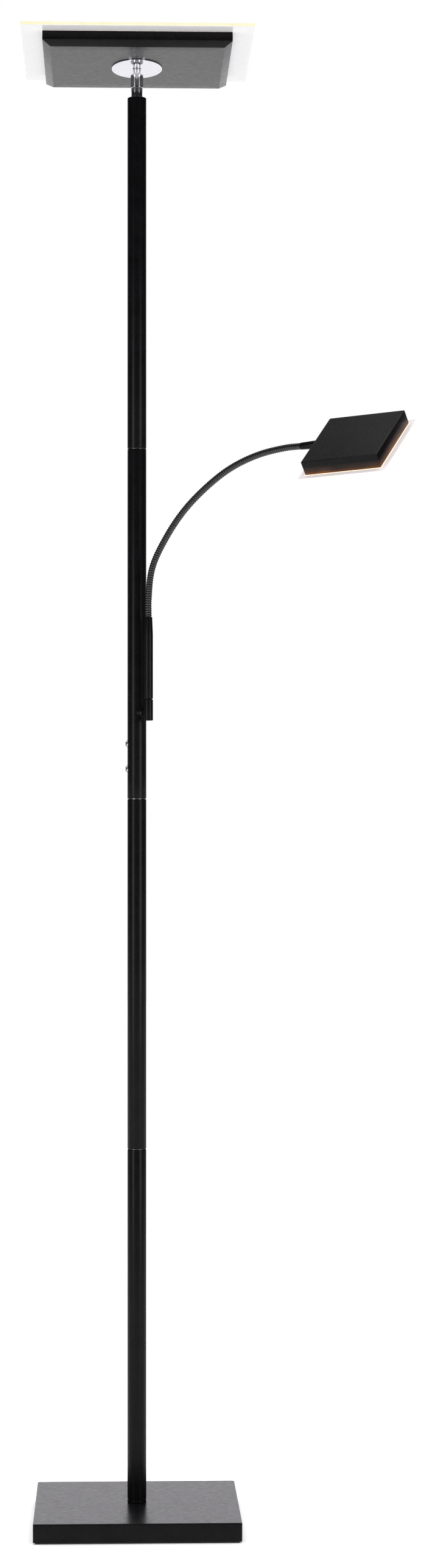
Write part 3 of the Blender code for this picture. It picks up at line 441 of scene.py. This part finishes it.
def carve(thing, *cutters):
    """Cut the cutters' shapes out of a piece for good."""
    for cutter in cutters:
        hole = thing.modifiers.new("hole", "BOOLEAN")
        hole.operation = "DIFFERENCE"
        hole.solver = "EXACT"
        hole.object = cutter
    bpy.context.view_layer.update()
    seen = thing.evaluated_get(bpy.context.evaluated_depsgraph_get())
    mesh = bpy.data.meshes.new_from_object(seen)
    thing.modifiers.clear()
    old = thing.data
    thing.data = mesh
    mesh.name = old.name
    shade(mesh)
    for cutter in cutters:
        bpy.data.objects.remove(cutter, do_unlink=True)


def rod(radius, bottom, top, place=Matrix(), sides=32):
    """A plain round cutter."""
    outline = [(0.0, bottom), (radius, bottom), (radius, top), (0.0, top)]
    return lathe("cutter", outline, BLACK, place, sides=sides)


def settle(piece, body, slot, *nodes):
    """Say what a piece moves with and which CAD nodes it stands for, which are hidden. The slot, meant for what it
    takes its finish from, is not used.
    """
    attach(piece, body)
    if nodes:
        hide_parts(*nodes)


def radius_of(node):
    """Outer radius of a node that was turned about an upright axis."""
    low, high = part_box(node)
    return (high.x - low.x) / 2


def pointing(direction, at, up=UP):
    """A placing at a point, with its Z along a direction."""
    z = Vector(direction).normalized()
    x = Vector(up).cross(z).normalized()
    return Matrix.Translation(at) @ Matrix((x, z.cross(x), z)).transposed().to_4x4()


# Studio

def make_camera():
    camera = bpy.data.objects.new("camera", bpy.data.cameras.new("camera"))
    bpy.context.scene.collection.objects.link(camera)
    camera.location = CAMERA_PLACE
    camera.rotation_euler = (math.radians(90.0), 0.0, CAMERA_TURN)
    camera.data.lens = CAMERA_LENS
    camera.data.shift_y = CAMERA_SHIFT
    bpy.context.scene.camera = camera


def make_world():
    """White all round to look at. What the lamp reflects is white behind it and dark in front of it."""
    world = bpy.data.worlds.new("studio")
    bpy.context.scene.world = world
    world.use_nodes = True
    tree = world.node_tree
    tree.nodes.clear()
    where = add_node(tree, "ShaderNodeTexCoord")
    split = add_node(tree, "ShaderNodeSeparateXYZ")
    tree.links.new(where.outputs["Generated"], split.inputs["Vector"])
    lit = add_node(tree, "ShaderNodeBackground")
    mirrored = spread(
        tree, split.outputs["Y"], MIRRORED_DARK, MIRRORED_BRIGHT, MIRRORED_START, MIRRORED_END, "SMOOTHSTEP",
    )
    tree.links.new(mirrored, lit.inputs["Strength"])
    lit.inputs["Color"].default_value = MIRRORED_TINT
    seen = add_node(tree, "ShaderNodeBackground")
    seen.inputs["Color"].default_value = (1.0, 1.0, 1.0, 1.0)
    mix = add_node(tree, "ShaderNodeMixShader")
    path = add_node(tree, "ShaderNodeLightPath")
    out = add_node(tree, "ShaderNodeOutputWorld")
    tree.links.new(path.outputs["Is Glossy Ray"], mix.inputs["Fac"])
    tree.links.new(seen.outputs["Background"], mix.inputs[1])
    tree.links.new(lit.outputs["Background"], mix.inputs[2])
    tree.links.new(mix.outputs["Shader"], out.inputs["Surface"])


def softbox(name, at, target, size):
    """A soft rectangular light that the camera doesn't see."""
    data = bpy.data.lights.new(name, "AREA")
    data.shape = "RECTANGLE"
    data.size, data.size_y = size
    data.energy = AREA_POWER
    lamp = bpy.data.objects.new(name, data)
    bpy.context.scene.collection.objects.link(lamp)
    lamp.location = at
    lamp.rotation_euler = (Vector(target) - Vector(at)).to_track_quat("-Z", "Y").to_euler()
    lamp.visible_camera = False


def make_studio():
    make_camera()
    make_world()
    for name, side in (("softbox_left", -1), ("softbox_right", 1)):
        at = (side * SOFTBOX_OFFSET, -SOFTBOX_OFFSET, SOFTBOX_HEIGHT)
        softbox(name, at, STUDIO_MIDDLE, SOFTBOX_SIZE)
    softbox("ceiling", (0.0, 0.0, CEILING_HEIGHT), (0.0, 0.0, 0.0), CEILING_SIZE)
    overhead = bpy.data.lights.new("overhead", "SUN")
    overhead.energy = OVERHEAD_POWER
    overhead.angle = OVERHEAD_SPREAD
    bpy.context.scene.collection.objects.link(bpy.data.objects.new("overhead", overhead))

    bm = bmesh.new()
    bmesh.ops.create_grid(bm, x_segments=8, y_segments=8, size=FLOOR_HALF)
    pale = surface(
        "pale_floor", (0.93, 0.93, 0.93), (0.945, 0.945, 0.945), (0.6, 0.7), patch=3.0, grain=300.0,
    )
    finish_mesh("floor", bm, pale, Matrix.Translation((0.0, 0.0, -FLOOR_DROP)))
    bpy.context.scene.view_settings.view_transform = "Standard"


# Base and pole

def make_base():
    low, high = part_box("base_cover")
    half = (high.x - low.x) / 2
    inner = half - COVER_WALL
    ceiling = high.z - COVER_WALL
    outline = soften(
        [(inner, ceiling), (inner, low.z), (half, low.z), (half, high.z), (half - COVER_TOP_START, high.z)],
        COVER_ROUNDING, steps=5,
    )
    cover = square_loft("base_shell", outline, COVER_CORNER, BLACK)
    foot_low, foot_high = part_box("foot_stud")
    inlet_low, inlet_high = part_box("inlet_grommet")
    inlet_z = (inlet_low.z + inlet_high.z) / 2
    lip = (inlet_high.x - inlet_low.x) / 2
    neck = lip - BUSH_FLANGE
    rear = pointing((0.0, 1.0, 0.0), (0.0, half, inlet_z))
    carve(
        cover, rod((foot_high.x - foot_low.x) / 2 + GAP, foot_low.z - GAP, foot_high.z),
        rod(neck, -3 * COVER_WALL, 3 * COVER_WALL, rear),
    )
    settle(cover, "stand", "black_coat", "base_cover")

    out = inlet_high.y - half
    back = inlet_low.y - half
    ring = [
        (neck / 2, back), (lip, back), (lip, -COVER_WALL - GAP), (neck - GAP, -COVER_WALL - GAP),
        (neck - GAP, GAP), (lip, GAP), (lip, out), (neck / 2, out),
    ]
    bush = lathe("inlet_bush", soften(ring, BUSH_ROUNDING, True), RUBBER, rear, True, 40)
    settle(bush, "stand", "rubber", "inlet_grommet")


def sleeve(node, bore, chamfer, rings=()):
    """Closed outline of a tube with chamfered, slightly rounded ends, and any extra rings outside."""
    low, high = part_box(node)
    radius = radius_of(node)
    outline = [
        (bore, high.z), (radius - chamfer, high.z), (radius, high.z - chamfer),
        *[(radius, height) for height in sorted(rings, reverse=True)],
        (radius, low.z + chamfer), (radius - chamfer, low.z), (bore, low.z),
    ]
    return soften(outline, chamfer * 0.35, True, 2)


def arm_foot():
    """Where the arm's axis meets the floor plane."""
    at = JOINTS["arm_swivel"]["pos_m"]
    return Vector((at[0], at[1], 0.0))


def make_pole():
    stud = radius_of("foot_stud") + GAP
    ring = lathe("foot_collar", sleeve("foot_ring", stud, POLE_CHAMFER / 2), BLACK, closed=True)
    settle(ring, "stand", "black_coat", "foot_ring")
    boss_low, boss_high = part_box("boss_stud")
    boss_z = (boss_low.z + boss_high.z) / 2
    side = arm_foot()
    openings = [((boss_high.z - boss_low.z) / 2 + GAP, side, boss_z)]
    for button in BUTTON_NODES:
        low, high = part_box(button)
        openings.append((BUTTON_STEM + GAP, (-1.0, 0.0, 0.0), (low.z + high.z) / 2))
    for index in range(1, 5):
        node = f"pole_section_{index}"
        low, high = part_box(node)
        radius = radius_of(node)
        mine = [opening for opening in openings if low.z < opening[2] < high.z]
        rings = [z + way * (hole + 3 * GAP) for hole, _, z in mine for way in (-1, 1)]
        outline = sleeve(node, radius - POLE_WALL, POLE_CHAMFER, rings)
        tube = lathe(f"pole_tube_{index}", outline, BLACK, closed=True, sides=96)
        if mine:
            carve(tube, *[
                rod(hole, radius / 2, radius * 1.5, pointing(way, (0.0, 0.0, z))) for hole, way, z in mine
            ])
        settle(tube, "stand", "black_coat", node)

    low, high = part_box("pole_top_cap")
    radius = radius_of("pole_top_cap")
    stud_radius = SOCKET_STUD + GAP
    plug = radius - POLE_WALL - GAP
    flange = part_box("pole_section_4")[1].z + GAP
    outline = [
        (stud_radius, high.z), (radius - POLE_CHAMFER, high.z), (radius, high.z - POLE_CHAMFER),
        (radius, flange), (plug, flange), (plug, low.z), (stud_radius, low.z),
    ]
    cap = lathe("pole_cap", soften(outline, CAP_ROUNDING, True), BLACK, closed=True)
    settle(cap, "stand", "black_coat", "pole_top_cap")


# Ball joint

def arc(radius, height, start, end, steps):
    """Points on a circle about (0, height), between two angles."""
    made = []
    for step in range(steps + 1):
        angle = start + (end - start) * step / steps
        made.append((radius * math.cos(angle), height + radius * math.sin(angle)))
    return made


def make_ball_joint():
    """The barrel on the pole, the cup that turns on it, and the ball pin with its collar."""
    low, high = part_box("socket_base")
    cap_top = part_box("pole_top_cap")[1].z
    cup_low, cup_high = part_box("socket_cup")
    radius = radius_of("socket_base")
    bottom = cap_top + GAP
    top = cup_low.z - GAP
    outline = [
        (WIRE_BORE, high.z), (SOCKET_SPIGOT, high.z), (SOCKET_SPIGOT, top), (radius, top), (radius, bottom),
        (SOCKET_STUD, bottom), (SOCKET_STUD, low.z), (WIRE_BORE, low.z),
    ]
    base = lathe("socket_barrel", soften(outline, SOCKET_ROUNDING, True), CHROME, closed=True)
    settle(base, "stand", "chrome", "socket_base")

    ball = Vector(JOINTS["head_nod"]["pos_m"])
    cup_radius = radius_of("socket_cup")
    start = -math.acos(WIRE_BORE / CUP_CAVITY)
    end = math.asin(math.sqrt(CUP_CAVITY**2 - CUP_OPENING**2) / CUP_CAVITY)
    hollow = arc(CUP_CAVITY, ball.z, start, end, 16)
    spigot_top = cup_low.z + (high.z - top) + GAP
    shoulder = [
        (cup_radius - CUP_SHOULDER * (1 - math.cos(a)), cup_high.z - CUP_SHOULDER * (1 - math.sin(a)))
        for a in (math.radians(90 - 15 * step) for step in range(7))
    ]
    seat = SOCKET_SPIGOT + GAP
    outline = [
        *hollow, (CUP_MOUTH, cup_high.z), *shoulder, (cup_radius, cup_low.z + GAP),
        (cup_radius - GAP, cup_low.z), (seat, cup_low.z), (seat, spigot_top), (WIRE_BORE, spigot_top),
    ]
    cup = lathe("swivel_cup_shell", outline, CHROME, closed=True)
    settle(cup, "swivel_cup", "chrome", "socket_cup")

    stud_low, stud_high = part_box("ball_stud")
    ball_radius = max(ball.z - stud_low.z, BALL_RADIUS)
    collar_low, collar_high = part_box("stud_collar")
    shank_top = collar_low.z - GAP
    shank_low = shank_top - PIN_SHANK_LENGTH
    start = math.acos(PIN_NECK / ball_radius)
    end = -math.acos(WIRE_BORE / ball_radius)
    outline = [
        (WIRE_BORE, stud_high.z), (PIN_THREAD, stud_high.z), (PIN_THREAD, shank_top), (PIN_SHANK, shank_top),
        (PIN_SHANK, shank_low), (PIN_NECK, shank_low), *arc(ball_radius, ball.z, start, end, 18),
    ]
    pin = lathe("ball_pin", outline, CHROME, closed=True)
    settle(pin, "uplighter", "chrome", "ball_stud")

    thread_hole = PIN_THREAD + GAP
    collar_radius = radius_of("stud_collar")
    outline = [
        (thread_hole, collar_high.z), (collar_radius, collar_high.z), (collar_radius, collar_low.z),
        (thread_hole, collar_low.z),
    ]
    collar = lathe("pin_collar", soften(outline, COLLAR_ROUNDING, True), CHROME, closed=True)
    settle(collar, "uplighter", "chrome", "stud_collar")
    return thread_hole


# Uplighter

def make_rosette(thread_hole):
    """The polished oval plate under the housing, with its rim rolled over."""
    low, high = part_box("rosette")
    size = high - low
    bm = bmesh.new()
    outline = soften([(0.0, low.z), (0.5, low.z), (0.5, high.z), (0.0, high.z)], COLLAR_ROUNDING, steps=4)
    ring = [bm.verts.new((radius, 0.0, height)) for radius, height in outline]
    edges = [bm.edges.new(pair) for pair in zip(ring, ring[1:])]
    bmesh.ops.spin(bm, geom=[*ring, *edges], angle=math.tau, steps=96, axis=UP, cent=(0, 0, 0))
    bmesh.ops.remove_doubles(bm, verts=bm.verts, dist=MERGE_DISTANCE)
    bmesh.ops.scale(bm, vec=(size.x, size.y, 1.0), verts=bm.verts)
    plate = finish_mesh("rosette_disc", bm, MIRROR)
    carve(plate, rod(thread_hole, low.z - GAP, high.z + GAP, sides=64))
    settle(plate, "uplighter", "chrome", "rosette")


def make_housing(thread_hole):
    low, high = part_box("head_housing")
    half = (high.x - low.x) / 2
    face = HOUSING_FACE
    edge = low.z + HOUSING_RISE
    slope = SHEET * 0.6
    outline = [
        (face - slope, low.z + SHEET), (half - SHEET, edge + slope), (half - SHEET, high.z), (half, high.z),
        (half, edge), (face, low.z), (face - 0.02, low.z),
    ]
    tray = square_loft("housing_tray", soften(outline, CORNER_ROUNDING), HOUSING_CORNER, BLACK)
    carve(tray, rod(thread_hole, low.z - GAP, low.z + SHEET + GAP))
    settle(tray, "uplighter", "black_coat", "head_housing")
    return half


def lit_plate(name, half, thick, face, edge, seam, place):
    """A square of acrylic with a brighter, warmer edge."""
    outline = [(half - PLATE_RIM, 0.0), (half, 0.0), (half, thick), (half - PLATE_RIM, thick)]
    plate = square_loft(name, soften(outline, PLATE_ROUNDING), PLATE_CORNER, face, place)
    plate.data.materials.append(lit_acrylic(edge, seam, 1.3, 0.0, LED_PITCH, (0.42, 0.38, 0.28), edge=True))
    for side in plate.data.polygons:
        side.material_index = 1 if abs(side.normal.z) < 0.5 else 0
    return plate


def make_plate(seam):
    """The acrylic plate, with countersunk screws, and the lamps under it."""
    low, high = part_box("light_plate")
    half = (high.x - low.x) / 2
    thick = high.z - low.z
    place = Matrix.Translation((0.0, 0.0, low.z))
    face = lit_acrylic("uplight_acrylic", seam, 0.08, 0.55, LED_PITCH, (0.52, 0.515, 0.525), 0.55)
    plate = lit_plate("acrylic_plate", half, thick, face, "uplight_edge", seam, place)
    holes = []
    for index in range(1, 5):
        screw_low, screw_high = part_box(f"plate_screw_{index}")
        middle = (screw_low + screw_high) / 2
        head = (screw_high.x - screw_low.x) / 2
        top = screw_high.z
        at = Matrix.Translation((middle.x, middle.y, 0.0))
        above = top + SCREW_OVERCUT
        below = low.z - SCREW_OVERCUT
        sink = SCREW_SINK + GAP
        hole = SCREW_SHANK + GAP
        outline = [
            (0.0, above), (head + GAP, above), (head + GAP, top + GAP), (hole, top - sink), (hole, below),
            (0.0, below),
        ]
        holes.append(lathe("cutter", outline, BLACK, at, sides=32))
        shank = [
            (0.0, top), (head, top), (head, top - 0.0002), (SCREW_SHANK, top - sink),
            (SCREW_SHANK, screw_low.z), (0.0, screw_low.z),
        ]
        screw = lathe(f"csk_screw_{index}", soften(shank, 0.0002), STEEL, at, sides=40)
        carve(screw, rod(SCREW_SOCKET, top - SCREW_SOCKET, top + 0.001, at, 6))
        settle(screw, "uplighter", "steel", f"plate_screw_{index}")
    carve(plate, *holes)
    settle(plate, "uplighter", "acrylic", "light_plate")

    board_low, board_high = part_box("head_led_board")
    line = (board_high.x - board_low.x) / 2 - STRIP_WIDTH / 2
    count = int(2 * line / LED_PITCH)
    bm = bmesh.new()
    for index in range(count):
        along = (index - (count - 1) / 2) * LED_PITCH
        for x, y in ((along, line), (along, -line), (line, along), (-line, along)):
            made = bmesh.ops.create_cube(bm, size=1.0)["verts"]
            bmesh.ops.scale(bm, vec=(LED_SIDE, LED_SIDE, LED_HEIGHT), verts=made)
            bmesh.ops.translate(bm, vec=(x, y, board_high.z + LED_HEIGHT / 2), verts=made)
    lamp = surface("lamp_resin", (0.85, 0.72, 0.30), (0.90, 0.80, 0.42), (0.25, 0.35), patch=300.0)
    chips = finish_mesh("led_packages", bm, lamp)
    settle(chips, "uplighter", "board")


# Reading arm

def make_bracket():
    """The boss on the pole and the knuckle that it holds."""
    side = arm_foot()
    offset = side.length
    low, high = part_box("arm_boss")
    z = (low.z + high.z) / 2
    pole = radius_of("pole_section_3")
    flange = (high.z - low.z) / 2
    knuckle_low, knuckle_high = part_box("arm_knuckle")
    tube = radius_of("arm_knuckle")
    place = pointing(side, (0.0, 0.0, z))
    body = flange - BOSS_STEP
    shoulder = offset - tube - BOSS_SHOULDER_GAP
    tip = offset - tube + BOSS_TIP_REACH
    flange_end = pole + BOSS_FLANGE
    outline = [
        (0.0, tip), (BOSS_TIP, tip), (BOSS_TIP, shoulder), (body, shoulder), (body, flange_end),
        (flange, flange_end), (flange, pole * 0.7), (0.0, pole * 0.7),
    ]
    boss = lathe("arm_stub", soften(outline, BOSS_ROUNDING), BLACK, place, sides=48)
    carve(
        boss, rod(pole + GAP, z - 0.02, z + 0.02, sides=96),
        rod(BOSS_BORE + GAP, 0.0, pole + BOSS_BORE_DEPTH + GAP, place),
    )
    settle(boss, "stand", "black_coat", "arm_boss")

    foot = arm_foot()
    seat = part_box("arm_tube")[0].z - GAP
    chamfer = ARM_CHAMFER
    outline = [
        (0.0, knuckle_high.z), (KNUCKLE_PIN, knuckle_high.z), (KNUCKLE_PIN, seat), (tube - chamfer, seat),
        (tube, seat - chamfer), (tube, knuckle_low.z + chamfer), (tube - chamfer, knuckle_low.z),
        (0.0, knuckle_low.z),
    ]
    block = soften(outline, KNUCKLE_ROUNDING)
    knuckle = lathe("arm_block", block, BLACK, Matrix.Translation(foot), sides=48)
    carve(knuckle, rod(BOSS_TIP + GAP, shoulder, tip + GAP, place))
    settle(knuckle, "stand", "black_coat", "arm_knuckle")


def make_tube():
    low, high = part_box("arm_tube")
    radius = radius_of("arm_tube")
    foot = arm_foot()
    pin = KNUCKLE_PIN + GAP
    pin_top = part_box("arm_knuckle")[1].z + GAP
    outline = [
        (ARM_BORE, high.z), (ARM_MOUTH, high.z), (radius, high.z - ARM_TAPER), (radius, low.z + ARM_CHAMFER),
        (radius - ARM_CHAMFER, low.z), (pin, low.z), (pin, pin_top), (ARM_BORE, pin_top),
    ]
    tube = lathe("arm_upright", soften(outline, ARM_ROUNDING, True), BLACK, Matrix.Translation(foot), True)
    settle(tube, "arm", "black_coat", "arm_tube")
    return Vector((foot.x, foot.y, high.z + GAP))


def hose_points(start):
    """Ends and bending points of the gooseneck, with the direction of the hose at each."""
    order = [f"{kind}{place}" for place in ("", "_2", "_3", "_4") for kind in ("neck_bend", "neck_side")]
    bends = [Vector(JOINTS[name]["pos_m"]) for name in order]
    out = Vector(JOINTS["reading_head_turn"]["axis"]).normalized()
    points = [start, *bends, bends[-1] + out * (bends[0] - start).length]
    ways = [UP]
    for before, here, after in zip(points, points[1:], points[2:]):
        ways.append(((here - before).normalized() + (after - here).normalized()).normalized())
    ways.append(out)
    return points, ways, order


def curve_at(points, ways, index, t):
    """A point between two bending points, on a smooth curve through them."""
    first, last = points[index], points[index + 1]
    reach = (last - first).length
    a, b = ways[index] * reach, ways[index + 1] * reach
    t2, t3 = t * t, t**3
    return first * (2 * t3 - 3 * t2 + 1) + a * (t3 - 2 * t2 + t) + last * (3 * t2 - 2 * t3) + b * (t3 - t2)


def hose_stretch(points, ways, number):
    """Fine points of the hose from the middle of one link to the middle of the next, over one bend."""
    last = len(points) - 2
    middle = CURVE_STEPS // 2
    before = [t / CURVE_STEPS for t in range(0 if number == 1 else middle, CURVE_STEPS + 1)]
    after = [t / CURVE_STEPS for t in range(0, (CURVE_STEPS if number == last else middle) + 1)]
    return [curve_at(points, ways, number - 1, t) for t in before[:-1]] + \
        [curve_at(points, ways, number, t) for t in after]


def resample(line, count):
    """Evenly spaced points on a line, with its direction at each."""
    lengths = [0.0]
    for a, b in zip(line, line[1:]):
        lengths.append(lengths[-1] + (b - a).length)
    made = []
    index = 0
    for step in range(count + 1):
        want = lengths[-1] * step / count
        while index < len(line) - 2 and lengths[index + 1] < want:
            index += 1
        part = (want - lengths[index]) / (lengths[index + 1] - lengths[index])
        way = (line[index + 1] - line[index]).normalized()
        made.append((line[index].lerp(line[index + 1], part), way))
    return made


def make_gooseneck(start):
    """A ribbed hose in eight stretches, one over each bend."""
    points, ways, order = hose_points(start)
    side = Vector(JOINTS["neck_bend"]["axis"]).normalized()
    radius = (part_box("hose_root")[1].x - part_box("hose_root")[0].x) / 2
    for number in range(1, len(order) + 1):
        line = hose_stretch(points, ways, number)
        stops = resample(line, RIBS_PER_LINK * len(RIB_PROFILE))
        bm = bmesh.new()
        rings = []
        for index, (centre, way) in enumerate(stops):
            across = RIB_PROFILE[index % len(RIB_PROFILE)]
            size = radius - RIB_DEPTH + RIB_DEPTH * math.sqrt(1.0 - across**2)
            up = way.cross(side).normalized()
            ring = []
            for step in range(HOSE_SIDES):
                angle = math.tau * step / HOSE_SIDES
                ring.append(bm.verts.new(centre + size * (math.cos(angle) * side + math.sin(angle) * up)))
            rings.append(ring)
        for low, high in zip(rings, rings[1:]):
            for index in range(HOSE_SIDES):
                after = (index + 1) % HOSE_SIDES
                bm.faces.new((low[index], low[after], high[after], high[index]))
        bm.faces.new(rings[0][::-1])
        bm.faces.new(rings[-1])
        skin = finish_mesh(f"hose_skin_{number}", bm, HOSE_BLACK, angle=60.0)
        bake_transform(skin)
        nodes = ["hose_root"] if number == 1 else [f"hose_link_{number - 1}"]
        if number == len(order):
            nodes.append("hose_end")
        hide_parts(*nodes)


# Reading head

def reader_frame():
    """Origin where the ferrule enters the housing, X along the ferrule and Z up through the lid."""
    joint = JOINTS["reading_head_turn"]
    x = Vector(joint["axis"]).normalized()
    y = UP.cross(x).normalized()
    level = Matrix((x, y, x.cross(y))).transposed().to_4x4()
    return Matrix.Translation(joint["pos_m"]) @ level @ Matrix.Rotation(READER_ROLL, 4, "X")


def make_reader():
    place = reader_frame()
    x = place.to_3x3() @ Vector((1.0, 0.0, 0.0))
    along = pointing(x, place.translation - x * FERRULE_LENGTH)
    spigot_end = FERRULE_LENGTH + GAP + SHEET + GAP + FERRULE_NUT + 2 * GAP
    outline = [
        (0.0, 0.0), (FERRULE_START, 0.0), (FERRULE_END, FERRULE_LENGTH), (FERRULE_SPIGOT, FERRULE_LENGTH),
        (FERRULE_SPIGOT, spigot_end), (0.0, spigot_end),
    ]
    cone = lathe("reader_ferrule", soften(outline, FERRULE_ROUNDING), BLACK, along, sides=48)
    settle(cone, "neck_end", "black_coat", "read_ferrule")

    half, top = READER_HALF, READER_TOP
    bottom = top - READER_HEIGHT
    lip = half - READER_LIP
    centre = place @ Matrix.Translation((GAP + half, 0.0, 0.0))
    outline = [
        (lip, top - SHEET), (half - SHEET, top - SHEET), (half - SHEET, bottom), (half, bottom), (half, top),
        (lip, top),
    ]
    # Painted glow: the housing's black coat emits warm light, as if spilt from the plate below it
    coat = painted_glow_coat("painted_glow_coat", bottom, READER_HEIGHT * READER_PAINTED_GLOW)
    skirt = soften(outline, CORNER_ROUNDING, steps=4)
    shell = square_loft("reader_shell", skirt, READER_CORNER, coat, centre)
    carve(shell, rod(FERRULE_SPIGOT + GAP, FERRULE_LENGTH - SHEET, FERRULE_LENGTH + 3 * SHEET, along))
    settle(shell, "reading_head", "black_coat", "read_housing")

    wide = half + READER_OVERHANG
    seat = place @ Matrix.Translation((GAP + half, 0.0, bottom - GAP - READER_PLATE))
    face = lit_acrylic("reader_acrylic", READER_HALF, 0.26, 1.1, LED_PITCH, (0.52, 0.485, 0.50))
    plate = lit_plate("reader_plate", wide, READER_PLATE, face, "reader_edge", READER_HALF, seat)
    settle(plate, "reading_head", "acrylic", "read_plate")


# Buttons

def make_buttons():
    pole = radius_of("pole_section_3")
    for name in ("upper", "lower"):
        low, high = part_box(f"button_{name}")
        z = (low.z + high.z) / 2
        radius = (high.z - low.z) / 2
        place = pointing((-1.0, 0.0, 0.0), (0.0, 0.0, z))
        crown = -low.x
        inner = -high.x
        rim = crown - BUTTON_DOME
        under = rim - BUTTON_UNDERCUT
        turns = [math.radians(9 * step) for step in range(11)]
        dome = [(radius * math.sin(turn), rim + BUTTON_DOME * math.cos(turn)) for turn in turns]
        outline = [*dome, (radius, under), (BUTTON_STEM, under), (BUTTON_STEM, inner), (0.0, inner)]
        cap = lathe(f"button_cap_{name}", outline, GLOSS, place, sides=40)
        settle(cap, f"{name}_button", "black_plastic", f"button_{name}")

        low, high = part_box(f"button_bezel_{name}")
        outer = (high.z - low.z) / 2
        bore = radius + GAP
        top = -low.x
        sink = pole - BEZEL_SINK
        outline = soften([(bore, top), (outer, top), (outer, sink), (bore, sink)], BEZEL_ROUNDING, True)
        ring = lathe(f"bezel_ring_{name}", outline, STEEL, place, True, 48)
        carve(ring, rod(pole + GAP, z - 0.02, z + 0.02, sides=96))
        settle(ring, "stand", "steel", f"button_bezel_{name}")


def dress_frame():
    """Give every CAD node the material of its slot."""
    for entry in frame["record"]["subparts"]:
        node = NODES[entry["node"]]
        node.data.materials.clear()
        node.data.materials.append(CAD_MATERIALS[entry["material_slot"]])


make_studio()
dress_frame()
make_base()
make_pole()
thread_hole = make_ball_joint()
make_rosette(thread_hole)
make_plate(make_housing(thread_hole))
make_bracket()
make_gooseneck(make_tube())
make_reader()
make_buttons()
